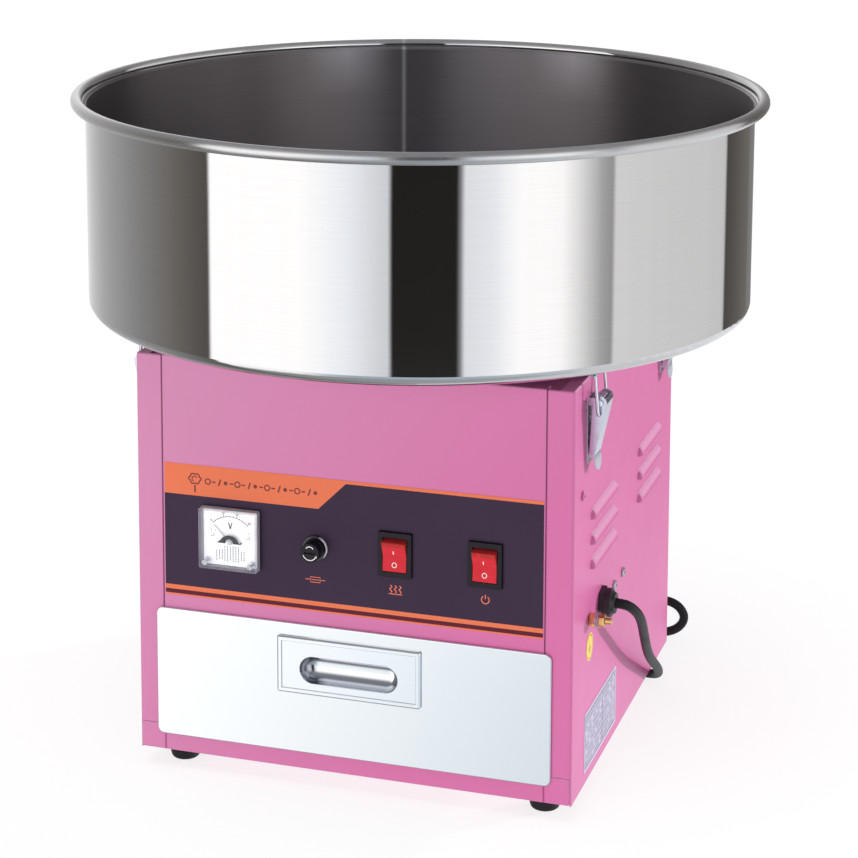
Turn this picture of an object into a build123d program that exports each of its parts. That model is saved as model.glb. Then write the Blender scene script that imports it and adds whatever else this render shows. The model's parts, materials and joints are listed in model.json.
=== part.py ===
from build123d import *
import os
from math import sin, cos, radians

# Candyfloss machine: pressed-steel case with a drawer and a control panel, a removable spun bowl
# held by four toggle latches, and a motor-driven heated spinner head fed through slip rings.
# Frame: millimetres, +Z up, -Y is the front, origin at the centre of the footprint on the floor.
# Plane.XZ.offset(d) lies at y = -d and extrudes forwards; a negative amount goes into the case.

# ---------------------------------------------------------------- driving dimensions
BODY_W = 325.0            # case width (X)
BODY_D = 325.0            # case depth (Y)
Z_BASE = 14.0             # underside of the case, on its feet
Z_TOP = 312.5             # top of the case
SHEET = 1.2               # case sheet thickness
POST = 19.8               # width of the folded corner posts
TOP_LIP = 11.0            # width of the folded lip round the top
BASE_LIP = 20.0           # height of the base pan's wall
GAP = 0.1                 # assembly gap between sheets
SEAT_GAP = 0.05           # gap under screw heads and seated fittings

HALF_W, HALF_D = BODY_W / 2, BODY_D / 2
IN_X, IN_Y = HALF_W - SHEET, HALF_D - SHEET  # inner faces of the side and end sheets
POST_X = HALF_W - POST                       # inner edge of the corner posts
PANEL_X = POST_X - 0.3                       # half width of the inset front and rear panels
DECK_TOP = Z_TOP - SHEET - GAP               # top of the deck plate, under the top lips

FOOT_PITCH = 275.0
FOOT_HEAD_Z = 8.0         # top of the screw counterbore in a foot
MOUNT_PITCH = 116.0       # screws hanging the motor mount from the deck
MOTOR_PITCH = 60.0        # screws holding the motor to its mount
CASE_HOLE_R = 1.75        # case screw holes in the side sheets
PANEL_HOLE_R = 1.7        # case screw holes in the front and rear panels
SIDE_SCREW_AT = (-139.5, 232.0)              # (y, z)
REAR_SCREW_X, REAR_SCREW_Z = 152.0, (60.0, 172.0, 285.0)

# ports in the right side, as (y, z)
GLAND_Y, GLAND_Z = -78.5, 133.7
GLAND_AT = (GLAND_Y, GLAND_Z)
STUD_AT = (-114.0, 133.4)
BLOCK_SCREW_Z = 131.8
BLOCK_SCREWS_AT = ((-38.2, BLOCK_SCREW_Z), (-9.8, BLOCK_SCREW_Z))

# control fittings on the front, as (x, z)
METER_X, METER_Z = -89.8, 181.8
METER_AT = (METER_X, METER_Z)
METER_HOLE_R = 18.0
FUSE_X, FUSE_Z = -25.8, 181.2
FUSE_AT = (FUSE_X, FUSE_Z)
FUSE_HOLE_R = 6.2
HEAT_X, POWER_X, SWITCH_Z = 34.0, 99.7, 183.1
SWITCHES_AT = ((HEAT_X, SWITCH_Z), (POWER_X, SWITCH_Z))
SWITCH_W, SWITCH_H = 22.0, 28.0              # switch body behind the bezel
SWITCH_HOLE_W, SWITCH_HOLE_H = SWITCH_W + 0.4, SWITCH_H + 0.4

LATCH_Y = 122.0           # latches stand this far in front of and behind the centre
LATCH_RIVET_Z = (257.0, 282.0)
BOWL_Z0 = 327.0           # underside of the bowl
SHAFT_R = 6.0

os.makedirs("parts", exist_ok=True)


def save(builder, label):
    builder.part.label = label
    export_step(builder.part, f"parts/{label}.step")


def gather(*pieces):
    """Put finished pieces into one builder."""
    with BuildPart() as group:
        for piece in pieces:
            add(piece)
    return group


# ---------------------------------------------------------------- case
with BuildPart() as base_pan:
    with BuildSketch(Plane.XY.offset(Z_BASE)):
        Rectangle(2 * (IN_X - GAP), BODY_D)
    extrude(amount=BASE_LIP)
    fillet(base_pan.faces().sort_by(Axis.Z)[0].edges(), radius=2.0)
    offset(amount=-SHEET, openings=base_pan.faces().sort_by(Axis.Z)[-1])
    # foot screw holes and a row of floor slots
    with BuildSketch(Plane.XY.offset(Z_BASE)):
        with GridLocations(FOOT_PITCH, FOOT_PITCH, 2, 2):
            Circle(2.0)
        with GridLocations(0, 14, 1, 9):
            SlotOverall(120, 5)
    extrude(amount=4, mode=Mode.SUBTRACT)
save(base_pan, "base_pan")

# one corner-to-corner side sheet: flat side, two folded posts and a folded top lip, for +X
CUT_X0 = POST_X - 2       # hollowing cuts start this far in, clear of the posts
with BuildPart() as side_blank:
    with BuildSketch(Plane.XY.offset(Z_BASE)):
        with Locations((HALF_W - POST / 2, 0)):
            Rectangle(POST, BODY_D)
    extrude(amount=Z_TOP - Z_BASE)
    fillet(side_blank.edges().filter_by(Axis.Z).group_by(Axis.X)[-1], radius=2.2)
    top_edges = side_blank.faces().sort_by(Axis.Z)[-1].edges()
    fillet(top_edges.sort_by(Axis.X)[1:], radius=1.6)
    with BuildSketch(Plane.XY.offset(Z_BASE - 1)):
        with Locations(((CUT_X0 + IN_X) / 2, 0)):
            Rectangle(IN_X - CUT_X0, 2 * IN_Y)
    extrude(amount=Z_TOP - SHEET - Z_BASE + 1, mode=Mode.SUBTRACT)
    # the top lip is narrower than the posts
    with BuildSketch(Plane.XY.offset(Z_TOP - SHEET - 1)):
        with Locations(((CUT_X0 + HALF_W - TOP_LIP) / 2, 0)):
            Rectangle(HALF_W - TOP_LIP - CUT_X0, 2 * IN_Y)
    extrude(amount=4, mode=Mode.SUBTRACT)
    # the posts stop above the base pan's front and rear walls
    with BuildSketch(Plane.XY.offset(Z_BASE - 1)):
        with Locations(((CUT_X0 + IN_X) / 2, 0)):
            Rectangle(IN_X - CUT_X0, BODY_D + 4)
    extrude(amount=BASE_LIP + 1.3, mode=Mode.SUBTRACT)
    # rivet holes for the latch bases, screw holes into the front panel, rear screws
    with BuildSketch(Plane.YZ.offset(IN_X - 1)):
        with Locations(*[(y, z) for y in (-LATCH_Y, LATCH_Y) for z in LATCH_RIVET_Z]):
            Circle(1.6)
        with Locations(SIDE_SCREW_AT):
            Circle(CASE_HOLE_R)
    extrude(amount=4, mode=Mode.SUBTRACT)
    with BuildSketch(Plane.XZ.offset(-HALF_D - 1)):
        with Locations(*[(REAR_SCREW_X, z) for z in REAR_SCREW_Z]):
            Circle(CASE_HOLE_R)
    extrude(amount=4, mode=Mode.SUBTRACT)

# one louvre, pressed outward: a round-ended hood whose mouth faces down
LOUVRE_L, LOUVRE_R = 76.0, 7.2
LOUVRE_INSET = 4.0        # depth of the hood's centre line behind the side's outer face
LOUVRE_Z = (206.5, 188.0, 170.0)
LOUVRE_Y = (-76.0, 76.0)
HOOD_HALF = LOUVRE_L / 2 - LOUVRE_R
HOOD_BACK = Plane.YZ.offset(LOUVRE_INSET - SHEET)        # inner face of the side sheet
with BuildPart() as louvre_hood:
    for radius, mode in ((LOUVRE_R + SHEET, Mode.ADD), (LOUVRE_R, Mode.SUBTRACT)):
        Cylinder(radius, 2 * HOOD_HALF, rotation=(90, 0, 0), mode=mode)
        with Locations((0, HOOD_HALF, 0), (0, -HOOD_HALF, 0)):
            Sphere(radius, mode=mode)
    split(bisect_by=Plane.XY, keep=Keep.TOP)
    split(bisect_by=HOOD_BACK, keep=Keep.TOP)
with BuildPart() as louvre_cut:
    Cylinder(LOUVRE_R, 2 * HOOD_HALF, rotation=(90, 0, 0))
    with Locations((0, HOOD_HALF, 0), (0, -HOOD_HALF, 0)):
        Sphere(LOUVRE_R)
    split(bisect_by=Plane.XY, keep=Keep.TOP)

louvre_spots = [(HALF_W - LOUVRE_INSET, y, z) for y in LOUVRE_Y for z in LOUVRE_Z]
with BuildPart() as louvred_side:
    add(side_blank.part)
    with Locations(*louvre_spots):
        add(louvre_cut.part, mode=Mode.SUBTRACT)
    with Locations(*louvre_spots):
        add(louvre_hood.part)

save(gather(louvred_side.part.mirror(Plane.YZ)), "left_side_panel")

with BuildPart() as right_side_panel:
    add(louvred_side.part)
    with BuildSketch(Plane.YZ.offset(IN_X - 1)):
        with Locations(GLAND_AT):
            Circle(8.3)
        with Locations(STUD_AT):
            Circle(2.6)
        with Locations(*BLOCK_SCREWS_AT):
            Circle(2.0)
    extrude(amount=4, mode=Mode.SUBTRACT)
save(right_side_panel, "right_side_panel")

OPEN_TOP = 123.0          # top of the drawer opening
FLANGE_BACK_Y = -128.0    # rear edge of the front panel's side flanges


def end_panel(z_low, bottom_lip):
    """Inset panel at -Y: face, top and bottom lips, joggled side flanges behind the posts."""
    with BuildPart() as panel:
        with BuildSketch(Plane.XZ.offset(IN_Y)):
            with Locations((0, (z_low + Z_TOP) / 2)):
                Rectangle(2 * PANEL_X, Z_TOP - z_low)
        extrude(amount=SHEET)
        front_top_edge = panel.edges().filter_by(Axis.X).group_by(Axis.Z)[-1].sort_by(Axis.Y)[0]
        fillet(front_top_edge, radius=1.1)
        for lip_z, lip in ((Z_TOP - SHEET, TOP_LIP), (z_low, bottom_lip)):
            with BuildSketch(Plane.XY.offset(lip_z)):
                with Locations((0, -HALF_D + (lip + SHEET) / 2)):
                    Rectangle(2 * PANEL_X, lip - SHEET)
            extrude(amount=SHEET)
        root_x, outer_x = PANEL_X - 2.4, IN_X - 0.4
        inner_x = outer_x - SHEET
        post_y = -IN_Y + GAP
        root_y, back_y = post_y - 0.6, post_y + SHEET
        flange_outline = [
            (root_x, root_y), (PANEL_X, root_y), (PANEL_X, post_y), (outer_x, post_y),
            (outer_x, FLANGE_BACK_Y), (inner_x, FLANGE_BACK_Y), (inner_x, back_y),
            (root_x, back_y), (root_x, root_y),
        ]
        for side in (-1, 1):
            with BuildSketch(Plane.XY.offset(z_low + 1.3)):
                with BuildLine():
                    Polyline(*[(side * x, y) for x, y in flange_outline])
                make_face()
            extrude(amount=DECK_TOP - z_low - 1.3)
    return panel.part


with BuildPart() as front_panel:
    add(end_panel(z_low=OPEN_TOP, bottom_lip=22.0))
    with BuildSketch(Plane.XZ.offset(IN_Y - 1)):
        with Locations(METER_AT):
            Circle(METER_HOLE_R)
        with Locations(FUSE_AT):
            Circle(FUSE_HOLE_R)
        with Locations(*SWITCHES_AT):
            Rectangle(SWITCH_HOLE_W, SWITCH_HOLE_H)
    extrude(amount=4, mode=Mode.SUBTRACT)
    with BuildSketch(Plane.YZ.offset(-HALF_W)):
        with Locations(SIDE_SCREW_AT):
            Circle(PANEL_HOLE_R)
    extrude(amount=BODY_W, mode=Mode.SUBTRACT)
save(front_panel, "front_panel")

with BuildPart() as rear_panel:
    add(end_panel(z_low=Z_BASE + BASE_LIP + 0.3, bottom_lip=14.0).mirror(Plane.XZ))
    with BuildSketch(Plane.XZ.offset(-HALF_D - 1)):
        with Locations(*[(x, z) for x in (-REAR_SCREW_X, REAR_SCREW_X) for z in REAR_SCREW_Z]):
            Circle(PANEL_HOLE_R)
        # block of slots
        with Locations((0, 236)):
            with GridLocations(0, 11, 1, 7):
                SlotOverall(110, 5)
    extrude(amount=6, mode=Mode.SUBTRACT)
save(rear_panel, "rear_panel")

DECK_HALF = 159.4
with BuildPart() as deck_plate:
    with BuildSketch(Plane.XY.offset(DECK_TOP - SHEET)):
        Rectangle(2 * DECK_HALF, 2 * DECK_HALF)
        Circle(62, mode=Mode.SUBTRACT)
        with GridLocations(MOUNT_PITCH, MOUNT_PITCH, 2, 2):
            Circle(2.0, mode=Mode.SUBTRACT)
    extrude(amount=SHEET)
save(deck_plate, "deck_plate")

SHELF_HALF_W, SHELF_Z = 160.9, 119.0
SHELF_FLANGE_H = 3.0      # side flanges, hanging below the shelf
with BuildPart() as drawer_shelf:
    with BuildSketch(Plane.XY.offset(SHELF_Z)):
        with Locations((0, -6.0)):
            Rectangle(2 * SHELF_HALF_W, 266.0)
    extrude(amount=SHEET)
    for side in (-1, 1):
        with BuildSketch(Plane.XY.offset(SHELF_Z - 2.4)):
            with Locations((side * (SHELF_HALF_W - SHEET / 2), 0)):
                Rectangle(SHEET, 240.0)
        extrude(amount=SHELF_FLANGE_H)
save(drawer_shelf, "drawer_shelf")

# right-hand runner section (x, z): foot flange outwards, upright web, shelf inwards
RUNNER_OUTLINE = [
    (142.4, 15.3), (157.0, 15.3), (157.0, 16.5), (143.6, 16.5), (143.6, 60.0), (142.4, 60.0),
    (142.4, 35.8), (126.0, 35.8), (126.0, 34.6), (142.4, 34.6), (142.4, 15.3),
]
with BuildPart() as drawer_runners:
    for side in (-1, 1):
        with BuildSketch(Plane.XZ.offset(-140.0)):
            with BuildLine():
                Polyline(*[(side * x, z) for x, z in RUNNER_OUTLINE])
            make_face()
        extrude(amount=290.0)
save(drawer_runners, "drawer_runners")

with BuildPart() as rubber_feet:
    with BuildSketch(Plane.XY):
        with GridLocations(FOOT_PITCH, FOOT_PITCH, 2, 2):
            Circle(10.0)
    extrude(amount=Z_BASE, taper=-14)
    # screw hole, counterbored from below
    for radius, depth in ((2.1, Z_BASE), (4.5, FOOT_HEAD_Z)):
        with BuildSketch(Plane.XY):
            with GridLocations(FOOT_PITCH, FOOT_PITCH, 2, 2):
                Circle(radius)
        extrude(amount=depth, mode=Mode.SUBTRACT)
    floor_edges = rubber_feet.faces().group_by(Axis.Z)[0].edges()
    fillet(floor_edges.filter_by(lambda edge: edge.radius > 8), radius=3.0)
save(rubber_feet, "rubber_feet")

with BuildPart() as bowl_seat_ring:
    with BuildSketch(Plane.XY.offset(DECK_TOP + SEAT_GAP)):
        Circle(110)
        Circle(96, mode=Mode.SUBTRACT)
    extrude(amount=BOWL_Z0 - DECK_TOP - 2 * SEAT_GAP)
    fillet(bowl_seat_ring.edges(), radius=1.5)
save(bowl_seat_ring, "bowl_seat_ring")

# ---------------------------------------------------------------- motor stations
# heights shared by the screws, the motor and the spindle
MOUNT_Z, MOUNT_T = 287.2, 3.0
MOUNT_TOP = MOUNT_Z + MOUNT_T


# ---------------------------------------------------------------- screws
def pan_head_screw(head_r, head_h, edge_r, recess_z, recess_l, recess_w, shank_r, shank_l):
    """Cross-recessed screw with its head on +Z and its seat at the origin."""
    with BuildPart() as screw:
        with BuildSketch(Plane.XY):
            Circle(head_r)
        extrude(amount=head_h)
        fillet(screw.edges().group_by(Axis.Z)[-1], radius=edge_r)
        with BuildSketch(Plane.XY.offset(recess_z)):
            Rectangle(recess_l, recess_w)
            Rectangle(recess_w, recess_l)
        extrude(amount=2, mode=Mode.SUBTRACT)
        with BuildSketch(Plane.XY):
            Circle(shank_r)
        extrude(amount=-shank_l)
    return screw.part


def square_corners(pitch):
    return [(x, y) for x in (-pitch / 2, pitch / 2) for y in (-pitch / 2, pitch / 2)]


# painted sheet-metal screws: one on each side into the front panel, six at the rear
case_screw = pan_head_screw(
    head_r=3.4, head_h=1.7, edge_r=1.0, recess_z=0.9, recess_l=3.6, recess_w=0.8,
    shank_r=1.6, shank_l=8,
)
case_screw_at = [
    Plane(origin=(side * (HALF_W + SEAT_GAP), *SIDE_SCREW_AT), z_dir=(side, 0, 0))
    for side in (1, -1)
] + [
    Plane(origin=(x, HALF_D + SEAT_GAP, z), z_dir=(0, 1, 0))
    for x in (-REAR_SCREW_X, REAR_SCREW_X)
    for z in REAR_SCREW_Z
]
with BuildPart() as case_screws:
    with Locations(*case_screw_at):
        add(case_screw)
save(case_screws, "case_screws")

# plain M4 screws: terminal block (2), feet (4), motor mount to deck (4), motor to mount (4)
steel_screw = pan_head_screw(
    head_r=3.6, head_h=2.0, edge_r=1.2, recess_z=1.1, recess_l=4.0, recess_w=0.9,
    shank_r=1.9, shank_l=11,
)
steel_screw_at = [
    Plane(origin=(HALF_W + SEAT_GAP, y, z), z_dir=(1, 0, 0)) for y, z in BLOCK_SCREWS_AT
]
for pitch, seat_z, z_dir in (
    (FOOT_PITCH, FOOT_HEAD_Z - SEAT_GAP, (0, 0, -1)),
    (MOUNT_PITCH, DECK_TOP + SEAT_GAP, (0, 0, 1)),
    (MOTOR_PITCH, MOUNT_TOP + SEAT_GAP, (0, 0, 1)),
):
    steel_screw_at += [Plane(origin=(x, y, seat_z), z_dir=z_dir) for x, y in square_corners(pitch)]
with BuildPart() as steel_screws:
    with Locations(*steel_screw_at):
        add(steel_screw)
save(steel_screws, "steel_screws")

# ---------------------------------------------------------------- control panel
LABEL_X, LABEL_Z0, LABEL_Z1, LABEL_T = 141.2, 134.0, 233.0, 0.2
LABEL_BACK = HALF_D + 0.02
FACE = LABEL_BACK + LABEL_T + 0.03       # plane that the control fittings sit on
with BuildPart() as control_label:
    with BuildSketch(Plane.XZ.offset(LABEL_BACK)):
        with Locations((0, (LABEL_Z0 + LABEL_Z1) / 2)):
            Rectangle(2 * LABEL_X, LABEL_Z1 - LABEL_Z0)
        with Locations(METER_AT):
            Circle(METER_HOLE_R, mode=Mode.SUBTRACT)
        with Locations(FUSE_AT):
            Circle(FUSE_HOLE_R, mode=Mode.SUBTRACT)
        with Locations(*SWITCHES_AT):
            Rectangle(SWITCH_HOLE_W, SWITCH_HOLE_H, mode=Mode.SUBTRACT)
    extrude(amount=LABEL_T)
save(control_label, "control_label")

# voltmeter: housing, dial, clear cover, two screws and a needle
METER_SIZE = 45.0
METER_FLANGE_T = 1.5
COVER_T = 7.0
PIVOT_AT = (METER_X, METER_Z - 2.6)      # needle pivot, below the dial's centre
METER_SCREWS_AT = ((METER_X - 17.3, METER_Z - 17.5), (METER_X + 17.3, METER_Z - 17.5))
METER_CLEAR_R = 1.1                      # screw holes in the dial and cover
NEEDLE_R, NEEDLE_REST = 17.0, -45.0      # length, and degrees from upright (minus is to -X)
DIAL = FACE + METER_FLANGE_T + SEAT_GAP  # back of the dial and of the cover

with BuildPart() as voltmeter_housing:
    with BuildSketch(Plane.XZ.offset(FACE)):
        with Locations(METER_AT):
            RectangleRounded(METER_SIZE, METER_SIZE, 1.5)
    extrude(amount=METER_FLANGE_T)
    with BuildSketch(Plane.XZ.offset(FACE + 0.1)):
        with Locations(METER_AT):
            Circle(METER_HOLE_R - 0.4)
    extrude(amount=-30)
    with BuildSketch(Plane.XZ.offset(FACE + METER_FLANGE_T)):
        with Locations(PIVOT_AT):
            Circle(4.0)
        with Locations(*METER_SCREWS_AT):
            Circle(1.05)
    extrude(amount=-12, mode=Mode.SUBTRACT)
save(voltmeter_housing, "voltmeter_housing")

with BuildPart() as voltmeter_dial:
    with BuildSketch(Plane.XZ.offset(DIAL)):
        with Locations(METER_AT):
            RectangleRounded(METER_SIZE - 4.0, METER_SIZE - 4.0, 0.8)
        with Locations(PIVOT_AT):
            Circle(1.6, mode=Mode.SUBTRACT)
        with Locations(*METER_SCREWS_AT):
            Circle(METER_CLEAR_R, mode=Mode.SUBTRACT)
    extrude(amount=0.4)
save(voltmeter_dial, "voltmeter_dial")

with BuildPart() as voltmeter_cover:
    with BuildSketch(Plane.XZ.offset(DIAL)):
        with Locations(METER_AT):
            RectangleRounded(METER_SIZE, METER_SIZE, 1.5)
    extrude(amount=COVER_T, taper=4)
    fillet(voltmeter_cover.faces().sort_by(Axis.Y)[0].edges(), radius=0.8)
    with BuildSketch(Plane.XZ.offset(DIAL)):
        with Locations(METER_AT):
            RectangleRounded(METER_SIZE - 3.4, METER_SIZE - 3.4, 0.8)
    extrude(amount=5.6, taper=3, mode=Mode.SUBTRACT)
    # moulded screw pillars in the lower corners
    with BuildSketch(Plane.XZ.offset(DIAL + 0.5)):
        with Locations(*METER_SCREWS_AT):
            Circle(2.6)
    extrude(amount=5.6)
    with BuildSketch(Plane.XZ.offset(DIAL)):
        with Locations(*METER_SCREWS_AT):
            Circle(METER_CLEAR_R)
    extrude(amount=COVER_T + 1, mode=Mode.SUBTRACT)
save(voltmeter_cover, "voltmeter_cover")

with BuildPart() as voltmeter_screws:
    with BuildSketch(Plane.XZ.offset(DIAL + COVER_T + SEAT_GAP)):
        with Locations(*METER_SCREWS_AT):
            Circle(2.1)
    extrude(amount=0.9)
    fillet(voltmeter_screws.edges().group_by(Axis.Y)[0], radius=0.4)
    with BuildSketch(Plane.XZ.offset(DIAL + COVER_T + 0.5)):
        with Locations(*METER_SCREWS_AT):
            Rectangle(3.2, 0.5, rotation=55)
    extrude(amount=1, mode=Mode.SUBTRACT)
    with BuildSketch(Plane.XZ.offset(DIAL + COVER_T + 0.1)):
        with Locations(*METER_SCREWS_AT):
            Circle(1.0)
    extrude(amount=-8.4)
save(voltmeter_screws, "voltmeter_screws")

needle_angle = radians(NEEDLE_REST)
needle_middle = (
    PIVOT_AT[0] + sin(needle_angle) * NEEDLE_R / 2,
    PIVOT_AT[1] + cos(needle_angle) * NEEDLE_R / 2,
)
with BuildPart() as voltmeter_needle:
    with BuildSketch(Plane.XZ.offset(DIAL + 1.2)):
        with Locations(PIVOT_AT):
            Circle(2.0)
        with Locations(needle_middle):
            Rectangle(0.5, NEEDLE_R, rotation=-NEEDLE_REST)
    extrude(amount=0.5)
    with BuildSketch(Plane.XZ.offset(DIAL + 1.3)):
        with Locations(PIVOT_AT):
            Circle(0.8)
    extrude(amount=-9)
save(voltmeter_needle, "voltmeter_needle")

# fuse: threaded-through holder, screw cap with a knurled rim, cylindrical link
FUSE_FLANGE_T = 2.2
FUSE_CAP_BACK = FACE + FUSE_FLANGE_T + 0.1
with BuildPart() as fuse_holder:
    with BuildSketch(Plane.XZ.offset(FACE)):
        with Locations(FUSE_AT):
            Circle(9.4)
    extrude(amount=FUSE_FLANGE_T)
    fillet(fuse_holder.edges().group_by(Axis.Y)[0], radius=0.7)
    with BuildSketch(Plane.XZ.offset(FACE + 0.1)):
        with Locations(FUSE_AT):
            Circle(FUSE_HOLE_R - 0.15)
    extrude(amount=-32)
    # wide bore for the cap's stem, then a narrow bore for the link
    for bore_front, bore_r, bore_depth in ((FACE + 3, 4.3, 13.2), (FACE, 2.75, 30)):
        with BuildSketch(Plane.XZ.offset(bore_front)):
            with Locations(FUSE_AT):
                Circle(bore_r)
        extrude(amount=-bore_depth, mode=Mode.SUBTRACT)
save(fuse_holder, "fuse_holder")

with BuildPart() as fuse_cap:
    with BuildSketch(Plane.XZ.offset(FUSE_CAP_BACK)):
        with Locations(FUSE_AT):
            Circle(7.6)
    extrude(amount=9.7, taper=4)
    fillet(fuse_cap.edges().group_by(Axis.Y)[0], radius=0.5)
    # grip flutes
    with BuildSketch(Plane.XZ.offset(FACE + 3.2)):
        with Locations(FUSE_AT):
            with PolarLocations(7.9, 20):
                Circle(0.7)
    extrude(amount=7.0, mode=Mode.SUBTRACT)
    # screwdriver slot
    with BuildSketch(Plane.XZ.offset(FACE + 12.0)):
        with Locations(FUSE_AT):
            Rectangle(8.0, 1.3)
    extrude(amount=-1.2, mode=Mode.SUBTRACT)
    with BuildSketch(Plane.XZ.offset(FUSE_CAP_BACK + 0.1)):
        with Locations(FUSE_AT):
            Circle(4.25)
    extrude(amount=-12.4)
save(fuse_cap, "fuse_cap")

with BuildPart() as fuse_link:
    with BuildSketch(Plane.XZ.offset(FACE - 10.1)):
        with Locations(FUSE_AT):
            Circle(2.6)
    extrude(amount=-19.5)
save(fuse_link, "fuse_link")

BEZEL_W, BEZEL_H = 25.2, 33.2
ROCKER_W, ROCKER_HALF, ROCKER_TILT = 17.2, 11.2, 9.0
ROCKER_PIVOT_Y = -161.0
with BuildPart() as switch_bodies:
    for switch_x, switch_z in SWITCHES_AT:
        with BuildSketch(Plane.XZ.offset(FACE)):
            with Locations((switch_x, switch_z)):
                RectangleRounded(BEZEL_W, BEZEL_H, 1.4)
        extrude(amount=2.4, taper=8)
        with BuildSketch(Plane.XZ.offset(FACE + 0.1)):
            with Locations((switch_x, switch_z)):
                Rectangle(SWITCH_W, SWITCH_H)
        extrude(amount=-25)
        # well for the rocker
        with BuildSketch(Plane.XZ.offset(FACE + 3)):
            with Locations((switch_x, switch_z)):
                Rectangle(ROCKER_W + 0.6, 2 * ROCKER_HALF + 2.5)
        extrude(amount=-14.0, mode=Mode.SUBTRACT)
        # pivot hole
        with BuildSketch(Plane.YZ.offset(switch_x - 10.5)):
            with Locations((ROCKER_PIVOT_Y, switch_z)):
                Circle(1.27)
        extrude(amount=21.0, mode=Mode.SUBTRACT)
save(switch_bodies, "switch_bodies")

# rocker cap: shallow V face, creased at the pivot height, tipped so its top half stands out
with BuildPart() as rocker_blank:
    with BuildSketch(Plane.YZ.offset(-ROCKER_W / 2)):
        with BuildLine():
            Polyline(
                (-4.0, 0), (-6.5, ROCKER_HALF - 0.6), (-6.0, ROCKER_HALF),
                (2.0, ROCKER_HALF - 0.4), (4.5, 5.0), (4.5, -5.0),
                (2.0, -ROCKER_HALF + 0.4), (-6.0, -ROCKER_HALF),
                (-6.5, -ROCKER_HALF + 0.6), (-4.0, 0),
            )
        make_face()
    extrude(amount=ROCKER_W)
    fillet(rocker_blank.edges().filter_by(Axis.X).group_by(Axis.Y)[0], radius=0.5)
    with BuildSketch(Plane.YZ.offset(-ROCKER_W / 2 - 1.8)):
        Circle(1.2)
    extrude(amount=ROCKER_W + 3.6)
tipped_rocker = rocker_blank.part.rotate(Axis.X, ROCKER_TILT)
for label, rocker_x in (("heat_rocker", HEAT_X), ("power_rocker", POWER_X)):
    placed = tipped_rocker.moved(Location((rocker_x, ROCKER_PIVOT_Y, SWITCH_Z)))
    save(gather(placed), label)

# ---------------------------------------------------------------- right-hand fittings
with BuildPart() as side_labels:
    with BuildSketch(Plane.YZ.offset(HALF_W + 0.03)):
        with Locations((-76.3, 44.0)):
            Rectangle(98.0, 44.0)
        with Locations((-112.9, 112.6)):
            Circle(10.0)
    extrude(amount=0.2)
save(side_labels, "side_labels")

GLAND_R = 8.0             # threaded barrel
GLAND_THREAD_R = GLAND_R + 0.05          # bore of the nuts
with BuildPart() as cable_gland:
    with BuildSketch(Plane.YZ.offset(HALF_W + SEAT_GAP)):
        with Locations(GLAND_AT):
            RegularPolygon(11.6, 6, rotation=12)
    extrude(amount=3.6)
    with BuildSketch(Plane.YZ.offset(152.0)):
        with Locations(GLAND_AT):
            Circle(GLAND_R)
    extrude(amount=18.0)
    with BuildSketch(Plane.YZ.offset(150.0)):
        with Locations(GLAND_AT):
            Circle(3.7)
    extrude(amount=25.0, mode=Mode.SUBTRACT)
save(cable_gland, "cable_gland")

with BuildPart() as cable_gland_nuts:
    # dome nut outside the case
    with BuildSketch(Plane.YZ.offset(HALF_W + 3.7)):
        with Locations(GLAND_AT):
            Circle(10.4)
    extrude(amount=4.5)
    with BuildSketch(Plane.YZ.offset(HALF_W + 8.1)):
        with Locations(GLAND_AT):
            Circle(9.0)
    extrude(amount=3.0, taper=30)
    for bore_r, bore_depth in ((GLAND_THREAD_R, 4.1), (4.1, 12.0)):
        with BuildSketch(Plane.YZ.offset(HALF_W + 3.5)):
            with Locations(GLAND_AT):
                Circle(bore_r)
        extrude(amount=bore_depth, mode=Mode.SUBTRACT)
    # lock nut inside the case
    with BuildSketch(Plane.YZ.offset(IN_X - 5.2)):
        with Locations(GLAND_AT):
            RegularPolygon(11.5, 6)
            Circle(GLAND_THREAD_R, mode=Mode.SUBTRACT)
    extrude(amount=5.0)
save(cable_gland_nuts, "cable_gland_nuts")

CORD_R = 3.6
# cord centre line (x, y, z): out of the gland, down the side, looped on the floor, to the plug
CORD_PATH = [
    (148.0, GLAND_Y, GLAND_Z), (158.0, GLAND_Y, GLAND_Z), (168.0, GLAND_Y, GLAND_Z),
    (173.8, GLAND_Y, GLAND_Z), (179.8, -76.8, 132.6), (184.2, -71.0, 128.0),
    (186.2, -60.0, 119.4), (185.6, -46.0, 108.5), (182.8, -24.0, 91.0), (179.4, 2.0, 70.5),
    (176.2, 30.0, 51.9), (173.6, 62.0, 33.2), (171.0, 88.0, 17.5), (164.5, 104.0, 8.0),
    (150.0, 112.0, 4.6), (128.0, 117.0, 4.4), (111.0, 136.0, 4.4), (108.0, 163.0, 4.4),
    (124.0, 184.0, 5.0), (148.0, 191.0, 8.0), (164.5, 191.0, 13.5), (170.6, 190.0, 24.5),
    (165.0, 189.0, 34.0), (149.0, 187.0, 38.5), (125.0, 186.0, 41.0), (94.0, 187.0, 38.0),
    (58.0, 189.0, 27.0), (25.0, 196.0, 14.0), (-5.0, 204.0, 7.0), (-35.0, 210.0, 6.5),
    (-65.0, 213.5, 9.0), (-95.0, 214.0, 12.0), (-106.0, 214.0, 12.0),
]
PLUG_Y, PLUG_Z = 214.0, 12.0
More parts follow.
